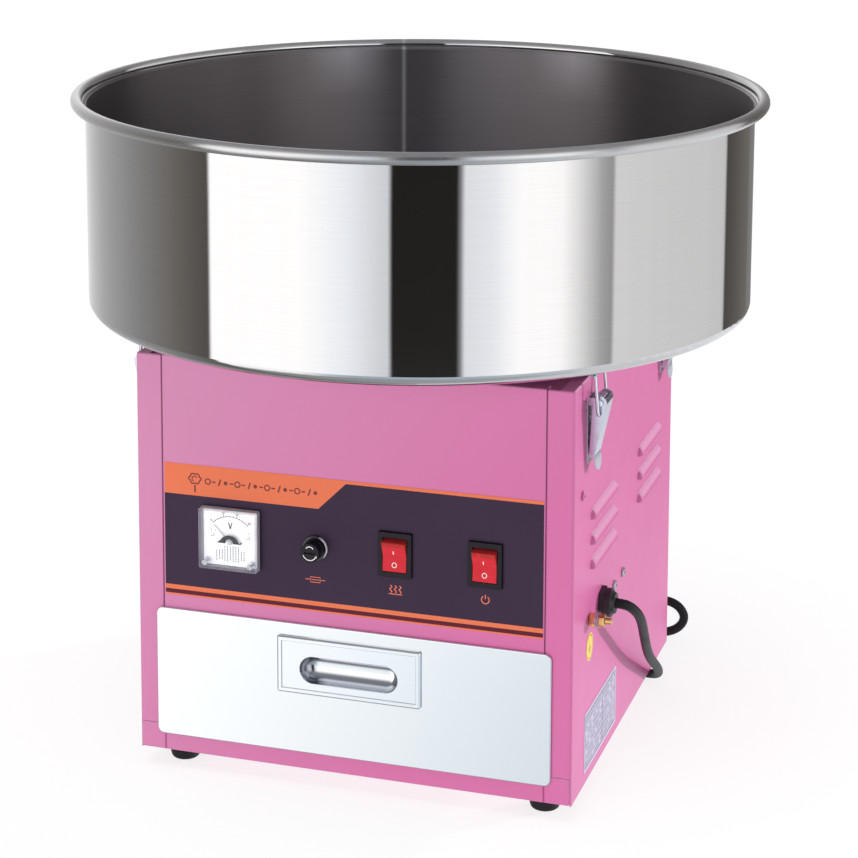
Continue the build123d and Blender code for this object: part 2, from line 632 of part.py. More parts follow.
with BuildPart() as power_cord:
    # moulded plug with a flexible neck, lying behind the case
    with BuildSketch(Plane(origin=(-104.0, PLUG_Y, PLUG_Z), z_dir=(-1, 0, 0))):
        RectangleRounded(20.0, 34.0, 6.0)
    extrude(amount=24)
    chamfer(power_cord.edges().group_by(Axis.X)[0], length=2.0)
    with BuildSketch(Plane(origin=(-92.0, PLUG_Y, PLUG_Z), z_dir=(-1, 0, 0))):
        Circle(5.2)
    extrude(amount=16, taper=-4)
    with BuildLine() as cord_line:
        Spline(*CORD_PATH)
    with BuildSketch(Plane(origin=CORD_PATH[0], z_dir=cord_line.line % 0)):
        Circle(CORD_R)
    sweep(path=cord_line.line)
save(power_cord, "power_cord")

with BuildPart() as earth_stud:
    with BuildSketch(Plane.YZ.offset(148.0)):
        with Locations(STUD_AT):
            Circle(2.45)
    extrude(amount=31.0)
    chamfer(earth_stud.faces().sort_by(Axis.X)[-1].edges(), length=0.6)
save(earth_stud, "earth_stud")

with BuildPart() as earth_nuts:
    for nut_x in (156.5, HALF_W + 0.6, 169.9):
        with BuildSketch(Plane.YZ.offset(nut_x)):
            with Locations(STUD_AT):
                RegularPolygon(4.9, 6, rotation=20)
                Circle(2.5, mode=Mode.SUBTRACT)
        extrude(amount=4.0)
save(earth_nuts, "earth_nuts")

with BuildPart() as earth_washers:
    # (inner x, thickness): one washer inside the case, two outside
    for washer_x, thickness in ((160.55, 0.7), (167.2, 1.1), (168.55, 1.1)):
        with BuildSketch(Plane.YZ.offset(washer_x)):
            with Locations(STUD_AT):
                Circle(5.4)
                Circle(2.6, mode=Mode.SUBTRACT)
        extrude(amount=thickness)
save(earth_washers, "earth_washers")

# ---------------------------------------------------------------- toggle latches and bowl hooks
# all are drawn for the right side at the front, then copied by mirroring and by sliding back
PIVOT_OUT, PIVOT_Z = 9.6, 297.0          # lever pivot, outward from the side panel
BAIL_OUT, BAIL_Z = 9.4, 288.9            # bail pivot on the lever
BAR_OUT, BAR_Z = 6.9, 318.0              # bail's top bar
BAIL_HALF, WIRE_R = 13.5, 1.25
LEVER_HALF, LEVER_T = 10.0, 1.2          # half width and wall of the lever channel
PIN_R, PIN_HALF = 1.5, LEVER_HALF + 0.1
EAR_Y, EAR_T = 7.8, 1.2                  # base ears either side of the latch's centre
RIVET_HEAD_R, RIVET_HEAD_T = 2.6, 0.9
PIVOT_X = HALF_W + PIVOT_OUT
LEVER_END_X, LEVER_END_Z = HALF_W + 4.4, 259.0
RIVETS_AT = [(-LATCH_Y, z) for z in LATCH_RIVET_Z]


def latch_copies(part):
    rear = part.moved(Location((0, 2 * LATCH_Y, 0)))
    return {
        "front_right": part,
        "rear_right": rear,
        "front_left": part.mirror(Plane.YZ),
        "rear_left": rear.mirror(Plane.YZ),
    }


with BuildPart() as latch_base:
    with BuildSketch(Plane.YZ.offset(HALF_W + SEAT_GAP)):
        with Locations((-LATCH_Y, 276.0)):
            RectangleRounded(20.0, 48.0, 3.0)
        with Locations(*RIVETS_AT):
            Circle(1.6, mode=Mode.SUBTRACT)
    extrude(amount=1.4)
    for y in (-EAR_Y, EAR_Y):
        with BuildSketch(Plane.XZ.offset(LATCH_Y - y + EAR_T / 2)):
            with Locations((PIVOT_X, PIVOT_Z)):
                Circle(2.8)
            with Locations((HALF_W + PIVOT_OUT / 2 + 0.5, PIVOT_Z)):
                Rectangle(PIVOT_OUT - 1.0, 5.2)
            with Locations((PIVOT_X, PIVOT_Z)):
                Circle(PIN_R + 0.03, mode=Mode.SUBTRACT)
        extrude(amount=-EAR_T)
save(gather(*latch_copies(latch_base.part).values()), "latch_bases")

# headed pivot pin along Y
with BuildPart() as latch_pin:
    with BuildSketch(Plane.XZ.offset(LATCH_Y - PIN_HALF)):
        with Locations((PIVOT_X, PIVOT_Z)):
            Circle(PIN_R)
    extrude(amount=2 * PIN_HALF)
    for end in (1, -1):
        with BuildSketch(Plane.XZ.offset(LATCH_Y - end * PIN_HALF)):
            with Locations((PIVOT_X, PIVOT_Z)):
                Circle(2.5)
        extrude(amount=-end * 1.0)
    pin_edges = latch_pin.edges().group_by(Axis.Y)
    fillet(pin_edges[0] + pin_edges[-1], radius=0.5)
# base rivets: inner head, shank, outer head
with BuildPart() as latch_rivet:
    for rivet_x, radius, length in (
        (IN_X - SEAT_GAP, RIVET_HEAD_R, -RIVET_HEAD_T),
        (IN_X - 0.5, 1.55, 3.6),
        (HALF_W + 1.5, RIVET_HEAD_R, RIVET_HEAD_T),
    ):
        with BuildSketch(Plane.YZ.offset(rivet_x)):
            with Locations(*RIVETS_AT):
                Circle(radius)
        extrude(amount=length)
pins_and_rivets = [
    *latch_copies(latch_pin.part).values(),
    *latch_copies(latch_rivet.part).values(),
]
save(gather(*pins_and_rivets), "latch_rivets")

CHANNEL_HALF = LEVER_HALF - LEVER_T
tab_plane = Plane(
    origin=(HALF_W + 6.25, -LATCH_Y, LEVER_END_Z), x_dir=(0, 1, 0), z_dir=(0.994, 0, 0.108)
)
with BuildPart() as lever_blank:
    with BuildSketch(Plane.XZ.offset(LATCH_Y - LEVER_HALF)):
        with Locations((PIVOT_X, PIVOT_Z)):
            Circle(5.0)
        with Locations((LEVER_END_X, LEVER_END_Z)):
            Circle(1.9)
        make_hull()
    extrude(amount=2 * LEVER_HALF)
    # channel, open towards the case and above the pivot
    with BuildSketch(Plane.XZ.offset(LATCH_Y - CHANNEL_HALF)):
        with Locations((PIVOT_X - 1.25, PIVOT_Z - 0.2)):
            Circle(5.0)
        with Locations((LEVER_END_X - 1.25, LEVER_END_Z - 0.2)):
            Circle(1.9)
        make_hull()
    extrude(amount=2 * CHANNEL_HALF, mode=Mode.SUBTRACT)
    with BuildSketch(Plane.XZ.offset(LATCH_Y - CHANNEL_HALF)):
        with Locations((PIVOT_X, PIVOT_Z + 7.4)):
            Rectangle(16, 10)
    extrude(amount=2 * CHANNEL_HALF, mode=Mode.SUBTRACT)
    # finger tab: a flat, round-ended tongue carrying on from the lever's outer wall
    with BuildSketch(tab_plane):
        with Locations((0, -1.5)):
            Rectangle(18.0, 5.0)
        with Locations((0, -4.0)):
            Ellipse(9.0, 8.5)
        with Locations((0, 6.0)):
            Rectangle(20.0, 10.0, mode=Mode.SUBTRACT)
    extrude(amount=-LEVER_T)
    # pin and bail holes through both walls
    with BuildSketch(Plane.XZ.offset(LATCH_Y - LEVER_HALF - 1)):
        with Locations((PIVOT_X, PIVOT_Z)):
            Circle(PIN_R + 0.06)
        with Locations((HALF_W + BAIL_OUT, BAIL_Z)):
            Circle(WIRE_R + 0.07)
    extrude(amount=2 * LEVER_HALF + 2, mode=Mode.SUBTRACT)

# wire bail: a rectangular loop with its two ends turned in through the lever
BAIL_END = 8.7
bail_plane = Plane(
    origin=(HALF_W + BAIL_OUT, -LATCH_Y, BAIL_Z),
    x_dir=(0, 1, 0),
    z_dir=(BAR_Z - BAIL_Z, 0, BAIL_OUT - BAR_OUT),
)
BAIL_H = ((BAR_Z - BAIL_Z) ** 2 + (BAIL_OUT - BAR_OUT) ** 2) ** 0.5
with BuildPart() as bail_blank:
    with BuildLine(bail_plane):
        FilletPolyline(
            (BAIL_END, 0), (BAIL_HALF, 0), (BAIL_HALF, BAIL_H),
            (-BAIL_HALF, BAIL_H), (-BAIL_HALF, 0), (-BAIL_END, 0),
            radius=2.4,
        )
    with BuildSketch(Plane(origin=bail_plane.from_local_coords((BAIL_END, 0, 0)), z_dir=(0, 1, 0))):
        Circle(WIRE_R)
    sweep()

for kind, blank in (("lever", lever_blank), ("bail", bail_blank)):
    for where, piece in latch_copies(blank.part).items():
        save(gather(piece), f"latch_{kind}_{where}")

# bowl hook: strip under the bowl, down past the case top, turned up outside to take the bail
HOOK_HALF = 6.0
HOOK_TOP = BOWL_Z0 - 0.02
HOOK_OUTLINE = [          # (outward from the side panel, z)
    (-16, HOOK_TOP), (1.5, HOOK_TOP), (1.5, 314.5), (4.3, 314.5), (4.3, 319.0), (5.3, 319.0),
    (5.3, 313.5), (0.5, 313.5), (0.5, HOOK_TOP - 1.0), (-16, HOOK_TOP - 1.0), (-16, HOOK_TOP),
]
with BuildPart() as hook_blank:
    with BuildSketch(Plane.XZ.offset(LATCH_Y - HOOK_HALF)):
        with BuildLine():
            Polyline(*[(HALF_W + out, z) for out, z in HOOK_OUTLINE])
        make_face()
    extrude(amount=2 * HOOK_HALF)
    fillet(hook_blank.edges().filter_by(Axis.Y).group_by(Axis.Z)[0], radius=1.2)
save(gather(*latch_copies(hook_blank.part).values()), "bowl_hooks")

# ---------------------------------------------------------------- bowl
BOWL_R, BOWL_T = 249.0, 0.8
BOWL_HOLE_R, BOWL_COLLAR_TOP = 80.0, BOWL_Z0 + 14
BEAD_R, BEAD_C, BEAD_Z = 4.4, 255.6, 483.4   # rolled rim: section radius and centre (x, z)
CORNER_R = 8              # outer radius of the bend from floor to wall
FOOT_R, RIM_R = BOWL_R - 0.3, BOWL_R + 0.2   # outer wall radius at the bottom and at the top
CORNER_X, CORNER_Z = FOOT_R - CORNER_R, BOWL_Z0 + CORNER_R
COLLAR_IN_R = BOWL_HOLE_R + BOWL_T
with BuildPart() as bowl:
    with BuildSketch(Plane.XZ):
        with BuildLine():
            Polyline((BOWL_HOLE_R, BOWL_COLLAR_TOP), (BOWL_HOLE_R, BOWL_Z0), (CORNER_X, BOWL_Z0))
            CenterArc((CORNER_X, CORNER_Z), CORNER_R, -90, 90)
            Polyline(
                (FOOT_R, CORNER_Z), (RIM_R, 479.4), (252.6, 481.4), (252.3, 482.3),
                (RIM_R - BOWL_T, 480.0), (FOOT_R - BOWL_T, CORNER_Z),
            )
            CenterArc((CORNER_X, CORNER_Z), CORNER_R - BOWL_T, 0, -90)
            Polyline(
                (CORNER_X, BOWL_Z0 + BOWL_T), (COLLAR_IN_R, BOWL_Z0 + BOWL_T),
                (COLLAR_IN_R, BOWL_COLLAR_TOP), (BOWL_HOLE_R, BOWL_COLLAR_TOP),
            )
        make_face()
        with Locations((BEAD_C, BEAD_Z)):
            Circle(BEAD_R)
    revolve(axis=Axis.Z)
save(bowl, "bowl")

# ---------------------------------------------------------------- drawer
DRAWER_W, DRAWER_Z0, DRAWER_Z1 = 296.0, 27.5, 124.0
DRAWER_BACK, DRAWER_T = HALF_D + 0.2, 2.0    # back plane and thickness of the drawer front
TRAY_W, TRAY_D, TRAY_Z0, TRAY_Z1 = 281.0, 280.0, 36.0, 116.0
PULL_W, PULL_H, PULL_Z = 107.5, 42.2, 93.0
PULL_BACK = DRAWER_BACK + DRAWER_T + SEAT_GAP
PULL_T = 2.4
PULL_PLATE_AT = (0, PULL_Z + 0.6)
PULL_SLOT_AT = (0, PULL_Z - 1.8)
PULL_SLOT_L, PULL_SLOT_H = 73.5, 20.0
CUTOUT_L, CUTOUT_H = PULL_SLOT_L + 5, PULL_SLOT_H + 5    # opening that clears the dish

with BuildPart() as drawer_front:
    with BuildSketch(Plane.XZ.offset(DRAWER_BACK)):
        with Locations((0, (DRAWER_Z0 + DRAWER_Z1) / 2)):
            RectangleRounded(DRAWER_W, DRAWER_Z1 - DRAWER_Z0, 5.0)
    extrude(amount=DRAWER_T)
    fillet(drawer_front.faces().sort_by(Axis.Y)[0].edges(), radius=0.8)
    with BuildSketch(Plane.XZ.offset(HALF_D - 2)):
        with Locations(PULL_SLOT_AT):
            SlotOverall(CUTOUT_L, CUTOUT_H)
    extrude(amount=6.0, mode=Mode.SUBTRACT)
save(drawer_front, "drawer_front")

with BuildPart() as drawer_tray:
    with BuildSketch(Plane.XY.offset(TRAY_Z0)):
        with Locations((0, -HALF_D + 0.2 + TRAY_D / 2)):
            Rectangle(TRAY_W, TRAY_D)
    extrude(amount=TRAY_Z1 - TRAY_Z0)
    fillet(drawer_tray.edges().filter_by(Axis.Z), radius=3.0)
    offset(amount=-1.0, openings=drawer_tray.faces().sort_by(Axis.Z)[-1])
    with BuildSketch(Plane.XZ.offset(HALF_D - 4)):
        with Locations(PULL_SLOT_AT):
            SlotOverall(CUTOUT_L, CUTOUT_H)
    extrude(amount=6.0, mode=Mode.SUBTRACT)
save(drawer_tray, "drawer_tray")

# the finger recess is a deep-drawn dish: the scoop is its hollow, the dish its outside
with BuildPart() as pull_scoop:
    with BuildSketch(Plane.XZ.offset(HALF_D + 4.9)):
        with Locations(PULL_SLOT_AT):
            SlotOverall(PULL_SLOT_L, PULL_SLOT_H)
    extrude(amount=-12.4)
    fillet(pull_scoop.faces().sort_by(Axis.Y)[-1].edges(), radius=9.0)
with BuildPart() as pull_dish:
    with BuildSketch(Plane.XZ.offset(HALF_D + 2.4)):
        with Locations(PULL_SLOT_AT):
            SlotOverall(PULL_SLOT_L + 2.4, PULL_SLOT_H + 2.4)
    extrude(amount=-11.1)
    fillet(pull_dish.faces().sort_by(Axis.Y)[-1].edges(), radius=9.6)
with BuildPart() as drawer_pull:
    with BuildSketch(Plane.XZ.offset(PULL_BACK)):
        with Locations(PULL_PLATE_AT):
            RectangleRounded(PULL_W, PULL_H, 1.6)
    extrude(amount=PULL_T)
    chamfer(drawer_pull.faces().sort_by(Axis.Y)[0].edges(), length=1.0)
    # shallow raised border: the field inside is 0.7 lower
    with BuildSketch(Plane.XZ.offset(PULL_BACK + PULL_T)):
        with Locations(PULL_PLATE_AT):
            Rectangle(PULL_W - 7.0, PULL_H - 7.0)
    extrude(amount=-0.7, mode=Mode.SUBTRACT)
    add(pull_dish.part)
    add(pull_scoop.part, mode=Mode.SUBTRACT)
save(drawer_pull, "drawer_pull")

# ---------------------------------------------------------------- motor, brushes, wiring
MOTOR_Z0, MOTOR_R = 182.0, 52
BEARING_R, BEARING_H = 16.0, 10
RING_Z, RING_H, RING_R, RING_BORE_R = (295.0, 308.0), 7, 14, 9.0
BRUSHES_AT = [(0, z + RING_H / 2) for z in RING_Z]       # (y, z), level with the slip rings
BRUSH_W, BRUSH_H = 8.0, 6.0

with BuildPart() as motor_mount:
    with BuildSketch(Plane.XY.offset(MOUNT_Z)):
        RectangleRounded(142, 142, 10)
        Circle(17, mode=Mode.SUBTRACT)
        with GridLocations(MOTOR_PITCH, MOTOR_PITCH, 2, 2):
            Circle(2.0, mode=Mode.SUBTRACT)
    extrude(amount=MOUNT_T)
    # pillars up to the deck, drilled from above the plate
    pillar_z = MOUNT_TOP - 0.2
    with BuildSketch(Plane.XY.offset(pillar_z)):
        with GridLocations(MOUNT_PITCH, MOUNT_PITCH, 2, 2):
            Circle(6.5)
    extrude(amount=DECK_TOP - SHEET - 0.02 - pillar_z)
    with BuildSketch(Plane.XY.offset(296.0)):
        with GridLocations(MOUNT_PITCH, MOUNT_PITCH, 2, 2):
            Circle(1.95)
    extrude(amount=30, mode=Mode.SUBTRACT)
save(motor_mount, "motor_mount")

with BuildPart() as motor_housing:
    with BuildSketch(Plane.XY.offset(MOTOR_Z0)):
        Circle(MOTOR_R)
    extrude(amount=105.1)
    fillet(motor_housing.edges(), radius=4)
    # (z, radius, height): lower chamber, rotor bore, upper chamber, bearing bore right through
    for z, radius, height in ((194, 47, 18), (212, 25, 48), (260, 47, 17), (180, 16.02, 110)):
        with BuildSketch(Plane.XY.offset(z)):
            Circle(radius)
        extrude(amount=height, mode=Mode.SUBTRACT)
    with BuildSketch(Plane.XY.offset(276.0)):
        with GridLocations(MOTOR_PITCH, MOTOR_PITCH, 2, 2):
            Circle(1.95)
    extrude(amount=12, mode=Mode.SUBTRACT)
    # two rings of windows in the wall
    for z in (198.0, 264.0):
        with BuildSketch(Plane.XY.offset(z)):
            with PolarLocations(50, 12):
                Rectangle(12, 9)
        extrude(amount=9, mode=Mode.SUBTRACT)
save(motor_housing, "motor_housing")

with BuildPart() as motor_bearings:
    for z in (184.0, 277.0):
        with BuildSketch(Plane.XY.offset(z)):
            Circle(BEARING_R)
            Circle(SHAFT_R + 0.05, mode=Mode.SUBTRACT)
        extrude(amount=BEARING_H)
save(motor_bearings, "motor_bearings")

with BuildPart() as spindle_shaft:
    # (z, radius, height): shaft, rotor, slip-ring sleeve
    for z, radius, height in (
        (180.0, SHAFT_R, 172), (214.0, 24.5, 44), (293.0, RING_BORE_R - 0.02, 25),
    ):
        with BuildSketch(Plane.XY.offset(z)):
            Circle(radius)
        extrude(amount=height)
    chamfer(spindle_shaft.faces().sort_by(Axis.Z)[-1].edges(), length=1)
save(spindle_shaft, "spindle_shaft")

with BuildPart() as slip_rings:
    for z in RING_Z:
        with BuildSketch(Plane.XY.offset(z)):
            Circle(RING_R)
            Circle(RING_BORE_R, mode=Mode.SUBTRACT)
        extrude(amount=RING_H)
save(slip_rings, "slip_rings")

with BuildPart() as brush_holder:
    with BuildSketch(Plane.XY.offset(290.3)):
        with Locations((33, 0)):
            RectangleRounded(26, 18, 2)
    extrude(amount=28)
    with BuildSketch(Plane.YZ.offset(15)):
        with Locations(*BRUSHES_AT):
            Rectangle(BRUSH_W + 0.2, BRUSH_H + 0.2)
    extrude(amount=24, mode=Mode.SUBTRACT)
save(brush_holder, "brush_holder")

with BuildPart() as carbon_brushes:
    with BuildSketch(Plane.YZ.offset(RING_R + 0.08)):
        with Locations(*BRUSHES_AT):
            Rectangle(BRUSH_W, BRUSH_H)
    extrude(amount=22)
save(carbon_brushes, "carbon_brushes")

BLOCK_AT = (-24.0, 131.0)     # (y, z)
with BuildPart() as terminal_block:
    with BuildSketch(Plane.YZ.offset(IN_X - 0.1)):
        with Locations(BLOCK_AT):
            Rectangle(46, 20)
        with Locations(*BLOCK_SCREWS_AT):
            Circle(1.95, mode=Mode.SUBTRACT)
    extrude(amount=-12)
    # wire pockets in the inner face
    with BuildSketch(Plane.YZ.offset(IN_X - 14)):
        with Locations(BLOCK_AT):
            with GridLocations(7.0, 10, 3, 2):
                Rectangle(4.5, 5)
    extrude(amount=8, mode=Mode.SUBTRACT)
save(terminal_block, "terminal_block")

TERMINAL_X = 146.8            # wire ends in the terminal block
SWITCH_TAG_Y = -136.0         # wire ends behind the switches
TAG_HIGH, TAG_LOW = SWITCH_Z + 6, SWITCH_Z - 6
# wire centre lines (x, y, z)
WIRES = [
    # gland to terminal block
    ((145.5, GLAND_Y, GLAND_Z), (143.0, -62.0, 138.0), (141.0, -40.0, 140.0),
     (TERMINAL_X, -30.0, 136.0)),
    # block to power switch
    ((TERMINAL_X, -24.0, 136.0), (130.0, -60.0, 150.0), (POWER_X, -110.0, 180.0),
     (POWER_X, SWITCH_TAG_Y, TAG_HIGH)),
    # block to heat switch
    ((TERMINAL_X, -20.0, 136.0), (120.0, -50.0, 158.0), (HEAT_X + 10, -105.0, 190.0),
     (HEAT_X, SWITCH_TAG_Y, TAG_HIGH)),
    # power switch to fuse
    ((POWER_X, SWITCH_TAG_Y, TAG_LOW), (80.0, -112.0, 165.0), (0.0, -105.0, 165.0),
     (FUSE_X, -129.0, FUSE_Z)),
    # heat switch to voltmeter
    ((HEAT_X, SWITCH_TAG_Y, TAG_LOW), (10.0, -92.0, 205.0), (-50.0, -95.0, 205.0),
     (METER_X, -131.0, METER_Z)),
    # block to motor
    ((TERMINAL_X, -28.0, 126.0), (125.0, -20.0, 140.0), (90.0, -10.0, 180.0),
     (54.0, 0.0, 203.0)),
    # block to brush holder
    ((TERMINAL_X, -22.0, 126.0), (128.0, 0.0, 160.0), (92.0, 2.0, 285.0), (78.0, 2.0, 300.0),
     (47.0, 0.0, 304.0)),
]
with BuildPart() as wiring_loom:
    for points in WIRES:
        with BuildLine() as wire_line:
            Spline(*points)
        with BuildSketch(Plane(origin=wire_line.line @ 0, z_dir=wire_line.line % 0)):
            Circle(1.3)
        sweep(path=wire_line.line)
save(wiring_loom, "wiring_loom")

# ---------------------------------------------------------------- spinner head
HEAD_R = 70.0
HEAD_SCREW_CIRCLE = 50        # radius of the circle of four head screws
HEAD_SCREW_HOLE_R = 1.62
ELEMENT_R = 60                # radius of the heating coils
BAND_Z = 348.6                # bottom of the band and of the element's posts

with BuildPart() as spinner_base:
    with BuildSketch(Plane.XY.offset(345.0)):
        Circle(HEAD_R)
    extrude(amount=3.5)
    # hub
    with BuildSketch(Plane.XY.offset(333.0)):
        Circle(16)
    extrude(amount=13)
    # rim
    with BuildSketch(Plane.XY.offset(348.0)):
        Circle(HEAD_R)
        Circle(HEAD_R - 3.2, mode=Mode.SUBTRACT)
    extrude(amount=4)
    # screw bosses
    with BuildSketch(Plane.XY.offset(348.0)):
        with PolarLocations(HEAD_SCREW_CIRCLE, 4, start_angle=45):
            Circle(4.5)
    extrude(amount=8)
    with BuildSketch(Plane.XY.offset(330.0)):
        Circle(SHAFT_R + 0.02)
        with PolarLocations(HEAD_SCREW_CIRCLE, 4, start_angle=45):
            Circle(HEAD_SCREW_HOLE_R)
    extrude(amount=40, mode=Mode.SUBTRACT)
save(spinner_base, "spinner_base")

# three rings joined by three upright posts
with BuildPart() as heating_element:
    with BuildSketch(Plane.XZ):
        with Locations(*[(ELEMENT_R, z) for z in (358, 368, 378)]):
            Circle(1.6)
    revolve(axis=Axis.Z)
    with BuildSketch(Plane.XY.offset(BAND_Z)):
        with PolarLocations(ELEMENT_R, 3):
            Circle(1.8)
    extrude(amount=29.4)
save(heating_element, "heating_element")

with BuildPart() as spinner_band:
    with BuildSketch(Plane.XY.offset(BAND_Z)):
        Circle(66.5)
        Circle(65.7, mode=Mode.SUBTRACT)
    extrude(amount=42.4)
    # upright slits
    with BuildSketch(Plane.XY.offset(355.0)):
        with PolarLocations(66, 60):
            Rectangle(4, 1.3)
    extrude(amount=30, mode=Mode.SUBTRACT)
save(spinner_band, "spinner_band")

# cap section (radius, z): central tube and a sloping cover out to the rim
CAP_OUTLINE = [
    (28, 404), (30.5, 404), (31.5, 401.5), (66, 394.2), (HEAD_R, 393.6), (HEAD_R, 391.1),
    (65, 391.1), (30.2, 398.6), (30.2, 374), (28, 374), (28, 404),
]
with BuildPart() as spinner_cap:
    with BuildSketch(Plane.XZ):
        with BuildLine():
            Polyline(*CAP_OUTLINE)
        make_face()
    revolve(axis=Axis.Z)
    with BuildSketch(Plane.XY.offset(392.5)):
        with PolarLocations(HEAD_SCREW_CIRCLE, 4, start_angle=45):
            Circle(4.6)
    extrude(amount=6.6)
    with BuildSketch(Plane.XY.offset(388.0)):
        with PolarLocations(HEAD_SCREW_CIRCLE, 4, start_angle=45):
            Circle(HEAD_SCREW_HOLE_R)
    extrude(amount=20, mode=Mode.SUBTRACT)
save(spinner_cap, "spinner_cap")

with BuildPart() as spinner_screws:
    # (z, radius, length): shanks, then heads
    for z, radius, length in ((349.0, 1.55, 50.5), (399.15, 3.6, 2.2)):
        with BuildSketch(Plane.XY.offset(z)):
            with PolarLocations(HEAD_SCREW_CIRCLE, 4, start_angle=45):
                Circle(radius)
        extrude(amount=length)
    fillet(spinner_screws.edges().group_by(Axis.Z)[-1], radius=0.9)
save(spinner_screws, "spinner_screws")
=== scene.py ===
import bpy, bmesh, json, math
from mathutils import Vector, Matrix


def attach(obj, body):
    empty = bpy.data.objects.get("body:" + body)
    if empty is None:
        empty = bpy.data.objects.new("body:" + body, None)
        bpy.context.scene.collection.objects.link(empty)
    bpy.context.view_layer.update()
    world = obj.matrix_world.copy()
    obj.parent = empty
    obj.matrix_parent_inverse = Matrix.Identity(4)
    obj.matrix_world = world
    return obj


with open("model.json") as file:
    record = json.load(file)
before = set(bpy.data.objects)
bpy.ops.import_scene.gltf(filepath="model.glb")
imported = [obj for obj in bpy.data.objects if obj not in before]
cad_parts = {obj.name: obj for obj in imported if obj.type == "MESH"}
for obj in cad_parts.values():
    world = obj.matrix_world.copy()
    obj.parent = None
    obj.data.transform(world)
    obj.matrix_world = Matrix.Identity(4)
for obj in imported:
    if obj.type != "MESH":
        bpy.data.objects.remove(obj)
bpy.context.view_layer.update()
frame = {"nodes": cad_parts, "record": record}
N = frame["nodes"]
MM = 0.001

# ------------------------------------------------------------------ node helpers


class Tree:
    """Small wrapper that builds a material's node tree."""

    def __init__(self, name):
        self.m = bpy.data.materials.new(name)
        self.m.use_nodes = True
        self.t = self.m.node_tree
        self.t.nodes.clear()
        self.out = self.t.nodes.new("ShaderNodeOutputMaterial")

    def n(self, kind, **kw):
        node = self.t.nodes.new(kind)
        for k, v in kw.items():
            setattr(node, k, v)
        return node

    def put(self, socket, v):
        if isinstance(v, bpy.types.NodeSocket):
            self.t.links.new(v, socket)
        elif v is not None:
            if isinstance(v, tuple) and len(v) == 3 and len(getattr(socket, "default_value", [])) == 4:
                v = (*v, 1.0)
            socket.default_value = v

    def math(self, op, a, b=None, c=None, clamp=False):
        x = self.n("ShaderNodeMath", operation=op, use_clamp=clamp)
        for i, v in enumerate((a, b, c)):
            self.put(x.inputs[i], v)
        return x.outputs[0]

    def mix(self, f, a, b):
        x = self.n("ShaderNodeMix", data_type="RGBA")
        self.put(x.inputs["Factor"], f)
        self.put(x.inputs[6], a)
        self.put(x.inputs[7], b)
        return x.outputs[2]

    def mixf(self, f, a, b):
        x = self.n("ShaderNodeMix", data_type="FLOAT")
        self.put(x.inputs["Factor"], f)
        self.put(x.inputs[2], a)
        self.put(x.inputs[3], b)
        return x.outputs[0]

    def coords(self):
        return self.n("ShaderNodeTexCoord").outputs["Object"]

    def xyz(self, v=None):
        s = self.n("ShaderNodeSeparateXYZ")
        self.put(s.inputs[0], v or self.coords())
        return s.outputs

    def vec(self, x, y, z):
        c = self.n("ShaderNodeCombineXYZ")
        for i, v in enumerate((x, y, z)):
            self.put(c.inputs[i], v)
        return c.outputs[0]

    def noise(self, scale, detail=3.0, stretch=(1, 1, 1), vec=None, rough=0.55):
        mp = self.n("ShaderNodeMapping")
        self.put(mp.inputs[0], vec or self.coords())
        mp.inputs["Scale"].default_value = stretch
        x = self.n("ShaderNodeTexNoise")
        self.put(x.inputs["Vector"], mp.outputs[0])
        x.inputs["Scale"].default_value = scale
        x.inputs["Detail"].default_value = detail
        x.inputs["Roughness"].default_value = rough
        return x.outputs["Fac"]

    def ramp(self, f, stops, mode="LINEAR"):
        x = self.n("ShaderNodeValToRGB")
        x.color_ramp.interpolation = mode
        e = x.color_ramp.elements
        while len(e) < len(stops):
            e.new(0.5)
        for el, (p, c) in zip(e, stops):
            el.position = p
            el.color = (*c, 1.0) if len(c) == 3 else c
        self.put(x.inputs[0], f)
        return x.outputs[0]

    def bump(self, h, dist, strength=1.0, normal=None):
        x = self.n("ShaderNodeBump")
        self.put(x.inputs["Height"], h)
        x.inputs["Distance"].default_value = dist
        x.inputs["Strength"].default_value = strength
        if normal:
            self.put(x.inputs["Normal"], normal)
        return x.outputs[0]

    def bevel(self, r):
        x = self.n("ShaderNodeBevel", samples=3)
        x.inputs["Radius"].default_value = r
        return x.outputs[0]

    def bsdf(self, **kw):
        b = self.n("ShaderNodeBsdfPrincipled")
        names = {"color": "Base Color", "rough": "Roughness", "metal": "Metallic", "spec": "Specular IOR Level",
                 "normal": "Normal", "coat": "Coat Weight", "coat_rough": "Coat Roughness", "aniso": "Anisotropic",
                 "tangent": "Tangent", "trans": "Transmission Weight", "ior": "IOR", "emit": "Emission Color",
                 "emit_s": "Emission Strength", "sss": "Subsurface Weight", "aniso_rot": "Anisotropic Rotation",
                 "sheen": "Sheen Weight"}
        for k, v in kw.items():
            if v is not None:
                self.put(b.inputs[names[k]], v)
        return b.outputs[0]

    def done(self, shader):
        self.t.links.new(shader, self.out.inputs["Surface"])
        return self.m


def shade(c, k):
    return tuple(min(1.0, v * k) for v in c)


# ------------------------------------------------------------------ materials


